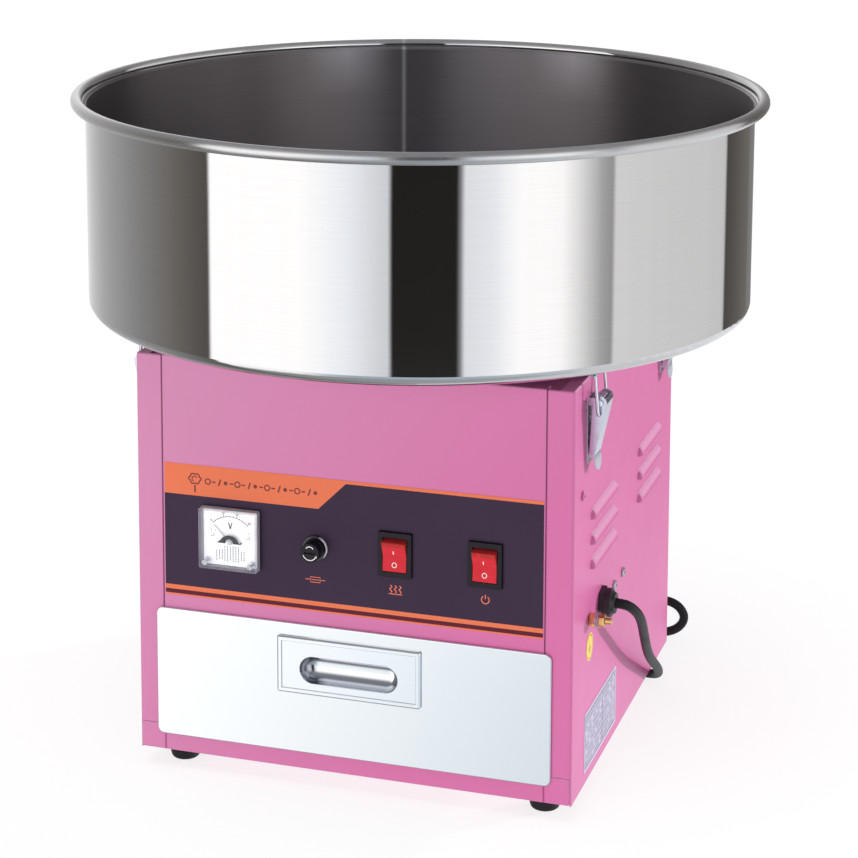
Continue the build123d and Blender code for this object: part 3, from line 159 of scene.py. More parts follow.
def pink_paint(name, base=(0.600, 0.130, 0.335)):
    t = Tree(name)
    big = t.noise(7.0, 2.0)
    fine = t.noise(420.0, 2.0)
    peel = t.noise(1500.0, 1.0)
    c = t.mix(big, shade(base, 0.95), shade(base, 1.05))
    # painted light: the coat is painted paler towards the upper left, where more light falls
    x, y, z = t.xyz()
    painted_light_left = t.math("ADD", t.math("SUBTRACT", 0.5, t.math("DIVIDE", x, 0.325)), t.math("MULTIPLY", t.math("SUBTRACT", z, 0.22), 2.0), clamp=True)
    c = t.mix(t.math("MULTIPLY", painted_light_left, 0.95), c, (0.585, 0.222, 0.395))
    c = t.mix(t.math("MULTIPLY", fine, 0.12), c, shade(base, 1.12))
    # painted highlight: the folded edges, found from a bevelled normal, are painted paler as if catching the light
    soft = t.bevel(0.0015)
    dot = t.n("ShaderNodeVectorMath", operation="DOT_PRODUCT")
    t.put(dot.inputs[0], soft)
    t.put(dot.inputs[1], t.n("ShaderNodeNewGeometry").outputs["Normal"])
    edge = t.math("MULTIPLY", t.math("SUBTRACT", 0.995, dot.outputs["Value"]), 6.0, clamp=True)
    c = t.mix(t.math("MULTIPLY", edge, 0.55), c, (0.90, 0.52, 0.74))
    # pressed and folded surfaces, off the flat of the sheet, catch more light
    nx, ny, nz = t.xyz(t.n("ShaderNodeNewGeometry").outputs["Normal"])
    flat = t.math("MAXIMUM", t.math("ABSOLUTE", nx), t.math("MAXIMUM", t.math("ABSOLUTE", ny), t.math("ABSOLUTE", nz)))
    curved = t.math("MULTIPLY", t.math("SUBTRACT", 0.985, flat), 9.0, clamp=True)
    curved = t.math("MULTIPLY", curved, t.math("GREATER_THAN", ny, -0.45))
    c = t.mix(t.math("MULTIPLY", curved, 0.40), c, (0.92, 0.42, 0.68))
    up = t.math("MULTIPLY", curved, t.math("MULTIPLY", t.math("SUBTRACT", nz, 0.30), 2.6, clamp=True))
    c = t.mix(t.math("MULTIPLY", up, 0.38), c, (1.0, 0.66, 0.86))
    # painted shade: a deep magenta line along the gap between the front panel and its posts, standing in for the shade
    # in the gap
    line = t.math("SUBTRACT", 1.0, t.math("MULTIPLY", t.math("ABSOLUTE", t.math("SUBTRACT", t.math("ABSOLUTE", x), 0.1427)), 1100.0), clamp=True)
    line = t.math("MULTIPLY", t.math("MULTIPLY", line, 2.0, clamp=True), t.math("LESS_THAN", y, -0.158))
    c = t.mix(t.math("MULTIPLY", line, 0.75), c, (0.26, 0.010, 0.12))
    r = t.mixf(t.noise(38.0, 4.0), 0.36, 0.46)
    nrm = t.bump(peel, 0.00006, 0.5, t.bump(t.noise(120.0, 2.0), 0.00010, 0.3, soft))
    return t.done(t.bsdf(color=c, rough=r, spec=0.5, coat=0.30, coat_rough=0.50, normal=nrm))


def spun_steel(name):
    """The bowl: polished outside, rougher spun finish inside with a darker colour painted in as shade; the fine marks
    run round the axis.
    """
    t = Tree(name)
    x, y, z = t.xyz()
    ang = t.math("ARCTAN2", y, x)
    rad = t.math("SQRT", t.math("ADD", t.math("MULTIPLY", x, x), t.math("MULTIPLY", y, y)))
    nx, ny, nz = t.xyz(t.n("ShaderNodeNewGeometry").outputs["Normal"])
    outward = t.math("DIVIDE", t.math("ADD", t.math("MULTIPLY", nx, x), t.math("MULTIPLY", ny, y)), rad)
    floor_in = t.math("MULTIPLY", t.math("GREATER_THAN", nz, 0.5), t.math("LESS_THAN", rad, 0.2505))
    inside = t.math("MULTIPLY", t.math("MAXIMUM", t.math("LESS_THAN", outward, -0.2), floor_in), t.math("LESS_THAN", z, 0.4815))
    hair = t.noise(1.0, 4.0, vec=t.vec(t.math("MULTIPLY", ang, 5.0), t.math("MULTIPLY", rad, 900.0), t.math("MULTIPLY", z, 1900.0)))
    streak = t.noise(1.0, 3.0, vec=t.vec(t.math("MULTIPLY", ang, 22.0), 0.0, t.math("MULTIPLY", z, 2.0)))
    cloud = t.noise(14.0, 4.0)
    c_out = t.mix(hair, (0.60, 0.59, 0.585), (0.71, 0.70, 0.70))
    c_out = t.mix(t.math("MULTIPLY", streak, 0.25), c_out, (0.80, 0.80, 0.80))
    # painted shade: the inner wall's colour is darker than the outer, standing in for the shade inside the bowl
    c_in = t.mix(hair, (0.30, 0.275, 0.285), (0.44, 0.415, 0.425))
    c_in = t.mix(t.math("MULTIPLY", cloud, 0.40), c_in, (0.25, 0.215, 0.225))
    # painted shade: the inner wall is painted darker away from the welded joint, towards its two sides
    shade_swing = t.math("ABSOLUTE", t.math("SUBTRACT", t.math("ABSOLUTE", t.math("SUBTRACT", ang, 1.62)), 0.0))
    c_in = t.mix(t.math("MULTIPLY", t.math("SUBTRACT", shade_swing, 0.45), 1.1, clamp=True), c_in, t.mix(hair, (0.20, 0.18, 0.19), (0.27, 0.25, 0.26)))
    # painted highlights: two lighter patches on the inner wall just under the rim
    high = t.math("MULTIPLY", t.math("SUBTRACT", z, 0.440), 24.0, clamp=True)
    highlight_patch = t.math("ADD", t.math("SUBTRACT", 1.0, t.math("MULTIPLY", t.math("ABSOLUTE", t.math("SUBTRACT", ang, 2.12)), 6.5), clamp=True),
                   t.math("SUBTRACT", 1.0, t.math("MULTIPLY", t.math("ABSOLUTE", t.math("SUBTRACT", ang, 1.33)), 6.5), clamp=True), clamp=True)
    c_in = t.mix(t.math("MULTIPLY", t.math("MULTIPLY", high, highlight_patch), 0.55), c_in, (0.80, 0.78, 0.82))
    c = t.mix(inside, c_out, c_in)
    # welded seam of the wall: one soft line at the back, painted near white, partly its own colour and partly a
    # painted highlight
    seam = t.math("SUBTRACT", 1.0, t.math("DIVIDE", t.math("ABSOLUTE", t.math("SUBTRACT", ang, 1.926)), 0.013), clamp=True)
    seam = t.math("MULTIPLY", t.math("POWER", seam, 1.6), t.math("GREATER_THAN", z, 0.337))
    c = t.mix(seam, c, (1.0, 1.0, 1.0))
    r_out = t.mixf(t.math("GREATER_THAN", rad, 0.2515), t.mixf(hair, 0.036, 0.056), t.mixf(hair, 0.24, 0.32))
    r = t.mixf(inside, r_out, t.mixf(hair, 0.38, 0.48))
    tg = t.n("ShaderNodeTangent", direction_type="RADIAL", axis="Z").outputs[0]
    nrm = t.bump(hair, 0.00002, 0.25)
    return t.done(t.bsdf(color=c, rough=r, metal=1.0, aniso=0.9, aniso_rot=0.25, tangent=tg, normal=nrm))


def brushed_steel(name, base=(0.70, 0.70, 0.71), axis=0, rough=(0.26, 0.38), lines=1600.0, smudge=0.10, bevel=0.0004, contrast=0.10):
    t = Tree(name)
    s = [lines / 100] * 3
    s[axis] = 0.16
    line = t.noise(100.0, 4.0, stretch=tuple(s))
    cloud = t.noise(16.0, 4.0, stretch=tuple(0.35 if i == axis else 1.3 for i in range(3)))
    c = t.mix(line, shade(base, 1.0 - contrast), shade(base, 1.0 + contrast))
    c = t.mix(t.math("MULTIPLY", cloud, smudge), c, shade(base, 0.72))
    r = t.mixf(line, rough[0], rough[1])
    r = t.math("ADD", r, t.math("MULTIPLY", cloud, 0.04))
    nrm = t.bump(line, 0.00004, 0.35, t.bevel(bevel))
    return t.done(t.bsdf(color=c, rough=r, metal=1.0, normal=nrm))


def pull_steel(name, base=(0.84, 0.86, 0.89)):
    """The drawer pull: brushed plate with painted shade along its edges and painted shade in the finger dish."""
    t = Tree(name)
    x, y, z = t.xyz()
    line = t.noise(100.0, 4.0, stretch=(0.16, 14.0, 14.0))
    c = t.mix(line, shade(base, 0.97), shade(base, 1.03))
    soft = t.bevel(0.0007)
    dot = t.n("ShaderNodeVectorMath", operation="DOT_PRODUCT")
    t.put(dot.inputs[0], soft)
    t.put(dot.inputs[1], t.n("ShaderNodeNewGeometry").outputs["Normal"])
    edge = t.math("MULTIPLY", t.math("SUBTRACT", 0.99, dot.outputs["Value"]), 9.0, clamp=True)
    # the dish: its lower wall and left end hold the shade
    sunk = t.math("GREATER_THAN", y, -0.1655)
    dishy = t.math("MULTIPLY", t.math("SUBTRACT", 0.0892, z), 170.0, clamp=True)
    left = t.math("MULTIPLY", t.math("SUBTRACT", -0.0255, x), 110.0, clamp=True)
    dark = t.math("MULTIPLY", sunk, t.math("MAXIMUM", t.math("MULTIPLY", dishy, 0.55), left))
    c = t.mix(t.math("MULTIPLY", dark, 0.85), c, (0.15, 0.145, 0.185))
    # painted shade: the plate's edges, found from a bevelled normal, are darkened as outlines
    c = t.mix(t.math("MULTIPLY", edge, t.math("MULTIPLY", t.math("SUBTRACT", 1.0, sunk), 0.70)), c, (0.20, 0.20, 0.24))
    nrm = t.bump(line, 0.00003, 0.3, t.bevel(0.0003))
    return t.done(t.bsdf(color=c, rough=t.mixf(line, 0.15, 0.20), metal=1.0, normal=nrm))


def plated(name, base=(0.80, 0.80, 0.82), rough=0.09):
    t = Tree(name)
    n1 = t.noise(240.0, 3.0)
    n2 = t.noise(60.0, 4.0)
    c = t.mix(n2, shade(base, 0.94), shade(base, 1.04))
    r = t.mixf(n1, rough * 0.7, rough * 1.6)
    nrm = t.bump(n2, 0.00008, 0.25, t.bevel(0.0003))
    return t.done(t.bsdf(color=c, rough=r, metal=1.0, normal=nrm))


def latch_plate(name, base=(0.60, 0.60, 0.69), rough=0.22):
    """The latch levers: plated; the finger tab, below a set height, is lighter, rougher and less metallic."""
    t = Tree(name)
    x, y, z = t.xyz()
    n1 = t.noise(240.0, 3.0)
    n2 = t.noise(60.0, 4.0)
    # below z 0.262 the tab is lighter, rougher and less metallic
    low_tip = t.math("MULTIPLY", t.math("SUBTRACT", 0.262, z), 120.0, clamp=True)
    c = t.mix(n2, shade(base, 0.94), shade(base, 1.04))
    c = t.mix(low_tip, c, (0.66, 0.66, 0.76))
    r = t.math("ADD", t.mixf(n1, rough * 0.7, rough * 1.6), t.math("MULTIPLY", low_tip, 0.12))
    nrm = t.bump(n2, 0.00008, 0.25, t.bevel(0.0003))
    return t.done(t.bsdf(color=c, rough=r, metal=t.mixf(low_tip, 1.0, 0.40), normal=nrm))


def fuse_collar(name):
    """The fuse holder: black, with a painted highlight on the right of its rounded rim."""
    t = Tree(name)
    x, y, z = t.xyz()
    dx, dz = t.math("SUBTRACT", x, -0.0258), t.math("SUBTRACT", z, 0.1812)
    rad = t.math("SQRT", t.math("ADD", t.math("MULTIPLY", dx, dx), t.math("MULTIPLY", dz, dz)))
    ang = t.math("ARCTAN2", dz, dx)
    rim = t.math("MULTIPLY", t.math("GREATER_THAN", rad, 0.00875), t.math("LESS_THAN", y, -0.163))
    arc = t.math("MULTIPLY", t.math("SUBTRACT", 1.05, t.math("ABSOLUTE", t.math("SUBTRACT", ang, 0.22))), 3.0, clamp=True)
    n1 = t.noise(300.0, 2.0)
    c = t.mix(n1, (0.007, 0.004, 0.007), (0.009, 0.006, 0.009))
    # painted highlight: a pale arc on the right of the rim
    c = t.mix(t.math("MULTIPLY", rim, arc), c, (0.72, 0.72, 0.78))
    nrm = t.bump(n1, 0.00002, 0.4, t.bevel(0.0006))
    return t.done(t.bsdf(color=c, rough=t.mixf(n1, 0.08, 0.14), spec=0.55, coat=0.5, coat_rough=0.08, normal=nrm))


def cast(name, base=(0.62, 0.62, 0.64)):
    t = Tree(name)
    n1 = t.noise(500.0, 3.0)
    c = t.mix(t.noise(50.0, 3.0), shade(base, 0.88), shade(base, 1.06))
    nrm = t.bump(n1, 0.00015, 0.5, t.bevel(0.0006))
    return t.done(t.bsdf(color=c, rough=t.mixf(n1, 0.32, 0.48), metal=1.0, normal=nrm))


def moulded(name, base=(0.018, 0.018, 0.02), rough=(0.34, 0.46), grain=900.0, depth=0.00008, bevel=0.0004, spec=0.5, coat=0.0):
    t = Tree(name)
    n1 = t.noise(grain, 2.0)
    c = t.mix(t.noise(70.0, 3.0), shade(base, 0.85), shade(base, 1.2))
    nrm = t.bump(n1, depth, 0.4, t.bevel(bevel))
    return t.done(t.bsdf(color=c, rough=t.mixf(n1, *rough), spec=spec, coat=coat, coat_rough=0.08, normal=nrm))


def rubber(name, base=(0.006, 0.005, 0.006)):
    t = Tree(name)
    n1 = t.noise(1400.0, 2.0)
    dust = t.noise(60.0, 5.0)
    c = t.mix(dust, base, shade(base, 2.4))
    nrm = t.bump(n1, 0.0001, 0.4, t.bevel(0.0006))
    return t.done(t.bsdf(color=c, rough=t.mixf(dust, 0.38, 0.55), spec=0.28, normal=nrm))


def brass(name):
    t = Tree(name)
    n1 = t.noise(300.0, 3.0)
    c = t.mix(n1, (0.66, 0.42, 0.12), (0.88, 0.68, 0.30))
    return t.done(t.bsdf(color=c, rough=t.mixf(n1, 0.16, 0.30), metal=1.0, normal=t.bump(n1, 0.00006, 0.4, t.bevel(0.0004))))


def red_lens(name):
    """Translucent red rocker: the lamp and its holder show dark amber through the upper end."""
    t = Tree(name)
    x, y, z = t.xyz()
    depth = t.noise(160.0, 2.0)
    sheen_facing = t.n("ShaderNodeLayerWeight").outputs["Facing"]
    c = t.mix(depth, (0.48, 0.006, 0.016), (0.64, 0.018, 0.034))
    up = t.math("MULTIPLY", t.math("SUBTRACT", z, 0.1885), 420.0, clamp=True)
    top = t.math("MULTIPLY", t.math("SUBTRACT", 0.1950, z), 700.0, clamp=True)
    lamp = t.math("MULTIPLY", t.math("MULTIPLY", up, top), t.math("GREATER_THAN", t.noise(330.0, 2.0), 0.40))
    c = t.mix(t.math("MULTIPLY", lamp, 0.60), c, (0.22, 0.018, 0.004))
    # painted sheen: the lens is paler towards its outline, at grazing angles
    c = t.mix(t.math("MULTIPLY", sheen_facing, 0.16), c, (0.95, 0.24, 0.24))
    nrm = t.bump(t.noise(700.0, 1.0), 0.00004, 0.3, t.bevel(0.0005))
    return t.done(t.bsdf(color=c, rough=0.26, spec=0.22, coat=0.06, coat_rough=0.12, emit=(0.80, 0.02, 0.03), emit_s=0.05, normal=nrm))


def clear_cover(name):
    """Thin clear moulding: see-through to the dial, milky at its cut edges."""
    t = Tree(name)
    g = t.n("ShaderNodeNewGeometry")
    nx, ny, nz = t.xyz(g.outputs["Normal"])
    flat = t.math("GREATER_THAN", t.math("ABSOLUTE", ny), 0.85)
    fr = t.n("ShaderNodeFresnel")
    fr.inputs[0].default_value = 1.42
    tr = t.n("ShaderNodeBsdfTransparent")
    tr.inputs[0].default_value = (0.985, 0.988, 0.995, 1)
    gl = t.n("ShaderNodeBsdfGlossy")
    gl.inputs["Roughness"].default_value = 0.04
    t.put(gl.inputs["Color"], t.mix(t.noise(300.0, 2.0), (0.95, 0.95, 0.97), (1.0, 1.0, 1.0)))
    face = t.n("ShaderNodeMixShader")
    t.put(face.inputs[0], t.math("MULTIPLY", fr.outputs[0], 0.5))
    t.t.links.new(tr.outputs[0], face.inputs[1])
    t.t.links.new(gl.outputs[0], face.inputs[2])
    side = t.n("ShaderNodeBsdfPrincipled")
    cloud = t.noise(260.0, 3.0)
    t.put(side.inputs["Base Color"], t.mix(cloud, (0.72, 0.72, 0.84), (0.95, 0.94, 1.0)))
    side.inputs["Roughness"].default_value = 0.10
    side.inputs["Alpha"].default_value = 0.42
    both = t.n("ShaderNodeMixShader")
    t.put(both.inputs[0], flat)
    t.t.links.new(side.outputs[0], both.inputs[1])
    t.t.links.new(face.outputs[0], both.inputs[2])
    return t.done(both.outputs[0])


def panel_print(name):
    """Printed film on the control panel, painted by height and distance across."""
    t = Tree(name)
    x, y, z = t.xyz()
    xm, zm = t.math("MULTIPLY", x, 1000.0), t.math("MULTIPLY", z, 1000.0)
    step = t.math("DIVIDE", t.math("SUBTRACT", xm, -23.5), 20.7, clamp=True)
    edge = t.math("ADD", 210.2, t.math("MULTIPLY", step, 20.4))
    grain = t.noise(800.0, 2.0)
    purple = t.mix(t.noise(12.0, 3.0), (0.026, 0.012, 0.034), (0.038, 0.019, 0.045))
    orange = t.mix(grain, (0.70, 0.160, 0.070), (0.80, 0.19, 0.09))
    maroon = (0.095, 0.008, 0.022)
    c = purple
    c = t.mix(t.math("GREATER_THAN", zm, edge), c, orange)
    c = t.mix(t.math("LESS_THAN", zm, 141.6), c, orange)
    c = t.mix(t.math("LESS_THAN", zm, 138.3), c, maroon)
    c = t.mix(t.math("LESS_THAN", zm, 135.2), c, orange)
    nrm = t.bump(grain, 0.00002, 0.4)
    return t.done(t.bsdf(color=c, rough=t.mixf(grain, 0.30, 0.38), spec=0.22, normal=nrm))


def sticker_print(name):
    """Rating plate (ruled lines and blocks, no words) and the round earth-point sticker."""
    t = Tree(name)
    x, y, z = t.xyz()
    ym, zm = t.math("MULTIPLY", y, 1000.0), t.math("MULTIPLY", z, 1000.0)
    paper = t.mix(t.noise(90.0, 3.0), (0.46, 0.42, 0.58), (0.58, 0.53, 0.70))
    ink = (0.05, 0.04, 0.09)
    # border
    inside = t.math("MULTIPLY",
                    t.math("LESS_THAN", t.math("ABSOLUTE", t.math("SUBTRACT", ym, -76.3)), 46.6),
                    t.math("LESS_THAN", t.math("ABSOLUTE", t.math("SUBTRACT", zm, 44.0)), 19.8))
    rim = t.math("LESS_THAN", t.math("ABSOLUTE", t.math("SUBTRACT", ym, -76.3)), 45.6)
    rim = t.math("MULTIPLY", rim, t.math("LESS_THAN", t.math("ABSOLUTE", t.math("SUBTRACT", zm, 44.0)), 18.8))
    c = t.mix(t.math("SUBTRACT", inside, rim), paper, ink)
    turn = t.math("MULTIPLY", t.math("SUBTRACT", zm, 25.2), 2 * math.pi / 4.6)
    row = t.math("ROUND", t.math("DIVIDE", t.math("SUBTRACT", zm, 27.5), 4.6))
    rows = t.math("GREATER_THAN", t.math("COSINE", turn), 0.88)
    dash = t.math("GREATER_THAN", t.noise(1.0, 1.0, vec=t.vec(t.math("MULTIPLY", ym, 0.16), t.math("MULTIPLY", row, 7.3), 0.0)), 0.42)
    block = t.math("LESS_THAN", t.math("COSINE", turn), -0.10)
    bars = t.math("GREATER_THAN", t.math("SINE", t.math("MULTIPLY", ym, 2 * math.pi / 3.3)), -0.55)
    txt = t.math("MULTIPLY", t.math("MULTIPLY", block, dash), bars)
    c = t.mix(t.math("MULTIPLY", rim, t.math("MULTIPLY", rows, 0.7)), c, ink)
    c = t.mix(t.math("MULTIPLY", rim, t.math("MULTIPLY", txt, 0.88)), c, ink)
    col = t.math("LESS_THAN", t.math("ABSOLUTE", t.math("SUBTRACT", ym, -70.0)), 0.5)
    c = t.mix(t.math("MULTIPLY", rim, col), c, ink)
    # round sticker
    yellow = t.mix(t.noise(200.0, 2.0), (0.80, 0.56, 0.06), (0.90, 0.66, 0.10))
    dy, dz = t.math("SUBTRACT", ym, -112.9), t.math("SUBTRACT", zm, 112.6)
    r = t.math("SQRT", t.math("ADD", t.math("MULTIPLY", dy, dy), t.math("MULTIPLY", dz, dz)))
    sym = t.math("MULTIPLY", t.math("LESS_THAN", t.math("ABSOLUTE", dy), 0.5),
                 t.math("MULTIPLY", t.math("GREATER_THAN", dz, -0.5), t.math("LESS_THAN", dz, 5.0)))
    for k, w in ((-0.8, 4.2), (-2.6, 2.8), (-4.4, 1.4)):
        bar = t.math("MULTIPLY", t.math("LESS_THAN", t.math("ABSOLUTE", t.math("SUBTRACT", dz, k)), 0.45),
                     t.math("LESS_THAN", t.math("ABSOLUTE", dy), w))
        sym = t.math("MAXIMUM", sym, bar)
    ring = t.math("LESS_THAN", t.math("ABSOLUTE", t.math("SUBTRACT", r, 8.4)), 0.35)
    y2 = t.mix(t.math("MAXIMUM", sym, ring), yellow, (0.12, 0.09, 0.03))
    c = t.mix(t.math("GREATER_THAN", zm, 90.0), c, y2)
    return t.done(t.bsdf(color=c, rough=0.32, spec=0.5, normal=t.bump(t.noise(900.0, 1.0), 0.00002, 0.4)))


def dial_card(name):
    t = Tree(name)
    c = t.mix(t.noise(110.0, 3.0), (0.86, 0.86, 0.85), (0.95, 0.95, 0.94))
    # painted glow: a faint white emission makes the card look brighter
    return t.done(t.bsdf(color=c, rough=0.55, emit=(0.95, 0.96, 1.0), emit_s=0.22, normal=t.bump(t.noise(1200.0, 2.0), 0.00003, 0.5)))


def ink(name, col, rough=0.4):
    t = Tree(name)
    c = t.mix(t.noise(700.0, 2.0), shade(col, 0.85), shade(col, 1.1))
    return t.done(t.bsdf(color=c, rough=rough, normal=t.bump(t.noise(900.0, 1.0), 0.00002, 0.4)))


def wires(name):
    """Loom insulation: one colour to each wire by where it runs."""
    t = Tree(name)
    n1 = t.noise(9.0, 0.0)
    c = t.ramp(n1, [(0.0, (0.05, 0.10, 0.45)), (0.46, (0.30, 0.08, 0.03)), (0.54, (0.10, 0.35, 0.05))], "CONSTANT")
    return t.done(t.bsdf(color=c, rough=0.4, normal=t.bump(t.noise(900.0, 2.0), 0.00004, 0.4)))


PINK = pink_paint("pink_paint")
BOWL = spun_steel("spun_steel")
DRAWER = brushed_steel("drawer_steel", (0.84, 0.85, 0.86), axis=0, rough=(0.17, 0.22), lines=1500.0, smudge=0.0, contrast=0.025)
PULL = pull_steel("pull_steel")
ZINC = brushed_steel("zinc_steel", (0.62, 0.63, 0.66), axis=1, rough=(0.26, 0.40), lines=900.0)
CHROME = plated("plated_steel", (0.78, 0.80, 0.86), 0.17)
LATCH = latch_plate("latch_steel")
ALU = cast("cast_aluminium")
BLACK = moulded("black_moulding")
GLOSS_BLACK = moulded("black_bezel", (0.009, 0.006, 0.010), (0.24, 0.32), 500.0, 0.00004, 0.0005, 0.22, 0.05)
FUSE_BLACK = fuse_collar("black_bakelite")
WHITE = moulded("white_moulding", (0.78, 0.78, 0.76), (0.30, 0.40))
RUBBER = rubber("black_rubber")
BRASS = brass("brass")
RED = red_lens("red_lens")
CLEAR = clear_cover("clear_cover")
PRINT = panel_print("panel_print")
STICKER = sticker_print("sticker_print")
CARD = dial_card("dial_card")
CARBON = moulded("carbon", (0.03, 0.03, 0.032), (0.45, 0.6), 1500.0)
WIRE = wires("wire_insulation")
INK_DARK = ink("ink_dark", (0.028, 0.022, 0.04))
INK_MAROON = ink("ink_maroon", (0.16, 0.018, 0.020))
INK_ORANGE = ink("ink_orange", (0.80, 0.17, 0.10))
INK_WHITE = ink("ink_white", (0.90, 0.90, 0.88))
NEEDLE = ink("needle_grey", (0.55, 0.54, 0.60))

by_slot = {
    "pink_paint": PINK, "satin_stainless": BOWL, "chrome_steel": CHROME, "zinc_steel": ZINC, "cast_aluminium": ALU,
    "brass": BRASS, "black_rubber": RUBBER, "black_plastic": BLACK, "white_plastic": WHITE, "red_plastic": RED,
    "clear_cover": CLEAR, "printed_film": PRINT, "carbon": CARBON,
}
by_node = {
    "drawer_front": DRAWER, "drawer_tray": ZINC, "drawer_pull": PULL, "side_labels": STICKER, "voltmeter_dial": CARD,
    "switch_bodies": GLOSS_BLACK, "wiring_loom": WIRE, "bowl_hooks": CHROME, "heating_element": ZINC,
    "fuse_cap": GLOSS_BLACK, "fuse_holder": FUSE_BLACK, "fuse_link": ZINC, "voltmeter_needle": NEEDLE,
}
for sub in frame["record"]["subparts"]:
    node = N[sub["node"]]
    m = by_node.get(sub["node"], by_slot[sub["material_slot"]])
    if sub["node"].startswith("latch_lever"):
        m = LATCH
    if node.material_slots:
        for s in node.material_slots:
            s.material = m
    else:
        node.data.materials.append(m)

# ------------------------------------------------------------------ small solid builders (mm in, metres out)


def finish_mesh(bm, name, body, m, smooth=False):
    bmesh.ops.remove_doubles(bm, verts=bm.verts, dist=1e-7)
    bmesh.ops.recalc_face_normals(bm, faces=bm.faces)
    me = bpy.data.meshes.new(name)
    bm.to_mesh(me)
    bm.free()
    for p in me.polygons:
        p.use_smooth = smooth
    o = bpy.data.objects.new(name, me)
    bpy.context.scene.collection.objects.link(o)
    o.data.materials.append(m)
    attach(o, body)
    return o


def place(origin, u, v, w, a, b, h):
    return (Vector(origin) + Vector(u) * a + Vector(v) * b + Vector(w) * h) * MM


class Print:
    """Flat-topped shapes raised a hair above a face given by an origin and two directions."""

    def __init__(self, origin=(0, 0, 0), u=(1, 0, 0), v=(0, 0, 1)):
        self.o, self.u, self.v = Vector(origin), Vector(u).normalized(), Vector(v).normalized()
        self.w = self.u.cross(self.v)
        self.bm = bmesh.new()

    def at(self, a, b, h):
        return self.bm.verts.new(place(self.o, self.u, self.v, self.w, a, b, h))

    def poly(self, pts, h0, h1):
        lo = [self.at(a, b, h0) for a, b in pts]
        hi = [self.at(a, b, h1) for a, b in pts]
        n = len(pts)
        self.bm.faces.new(lo[::-1])
        self.bm.faces.new(hi)
        for i in range(n):
            j = (i + 1) % n
            self.bm.faces.new((lo[i], lo[j], hi[j], hi[i]))

    def disc(self, a, b, r, h0, h1, n=28):
        self.poly([(a + r * math.cos(2 * math.pi * i / n), b + r * math.sin(2 * math.pi * i / n)) for i in range(n)], h0, h1)

    def ribbon(self, pts, width, h0, h1, closed=False):
        n = len(pts)
        sides = []
        for i in range(n):
            p = Vector(pts[i])
            if closed:
                d = Vector(pts[(i + 1) % n]) - Vector(pts[i - 1])
            else:
                d = Vector(pts[min(i + 1, n - 1)]) - Vector(pts[max(i - 1, 0)])
            d.normalize()
            q = Vector((-d.y, d.x)) * width / 2
            sides.append((p + q, p - q))
        rows = [[self.at(s.x, s.y, h) for s in pair for h in (h0, h1)] for pair in sides]
        for i in range(n if closed else n - 1):
            a, b = rows[i], rows[(i + 1) % n]
            for k, l in ((0, 1), (1, 3), (3, 2), (2, 0)):
                self.bm.faces.new((a[k], a[l], b[l], b[k]))
        if not closed:
            for r in (rows[0], rows[-1]):
                self.bm.faces.new((r[0], r[1], r[3], r[2]))

    def arc(self, a, b, r, t0, t1, width, h0, h1, n=32, closed=False):
        k = n if closed else n - 1
        self.ribbon([(a + r * math.cos(math.radians(t0 + (t1 - t0) * i / k)), b + r * math.sin(math.radians(t0 + (t1 - t0) * i / k)))
                     for i in range(n)], width, h0, h1, closed)

    def bar(self, a, b, w, h, h0, h1, turn=0.0):
        c, s = math.cos(math.radians(turn)), math.sin(math.radians(turn))
        self.poly([(a + x * c - y * s, b + x * s + y * c) for x, y in ((-w / 2, -h / 2), (w / 2, -h / 2), (w / 2, h / 2), (-w / 2, h / 2))], h0, h1)

    def make(self, name, body, m, smooth=False):
        return finish_mesh(self.bm, name, body, m, smooth)


def digits(text, size, a, b, origin, name, body, m, thick=0.05):
    cu = bpy.data.curves.new(name, "FONT")
    cu.body = text
    cu.size = size
    cu.align_x, cu.align_y = "CENTER", "CENTER"
    cu.extrude = thick / 2
    tmp = bpy.data.objects.new(name + "_tmp", cu)
    bpy.context.scene.collection.objects.link(tmp)
    dg = bpy.context.evaluated_depsgraph_get()
    me = bpy.data.meshes.new_from_object(tmp.evaluated_get(dg))
    bpy.data.objects.remove(tmp)
    bm = bmesh.new()
    bm.from_mesh(me)
    bpy.data.meshes.remove(me)
    for v in bm.verts:
        x, y, z = v.co
        v.co = Vector((origin[0] + a + x, origin[1] - z - thick / 2, origin[2] + b + y)) * MM
    return finish_mesh(bm, name, body, m)


# ------------------------------------------------------------------ printed marks on the panel
Y_FILM = -162.72
film = (0, Y_FILM, 0)
H0, H1 = 0.006, 0.045

# caption pictograms under the controls: a fuse, rising heat, and the on-off mark
p = Print(film)
fx, cz = -25.8, 157.6
p.ribbon([(fx - 3.6, cz - 1.9), (fx + 3.6, cz - 1.9), (fx + 3.6, cz + 1.9), (fx - 3.6, cz + 1.9)], 0.55, H0, H1, closed=True)
p.bar(fx, cz, 6.2, 0.5, H0, H1)
p.bar(fx - 5.7, cz, 3.4, 0.55, H0, H1)
p.bar(fx + 5.7, cz, 3.4, 0.55, H0, H1)
for k in (-3.4, 0, 3.4):
    p.ribbon([(34.0 + k + 0.75 * math.sin(i * 0.55), cz - 2.7 + i * 0.30) for i in range(19)], 0.7, H0, H1)
p.bar(34.0, cz - 3.7, 10.2, 0.6, H0, H1)
p.arc(99.7, cz, 2.8, 125, 415, 0.7, H0, H1, n=36)
p.bar(99.7, cz + 2.2, 0.7, 3.2, H0, H1)
p.make("panel_pictograms", "case", INK_ORANGE)

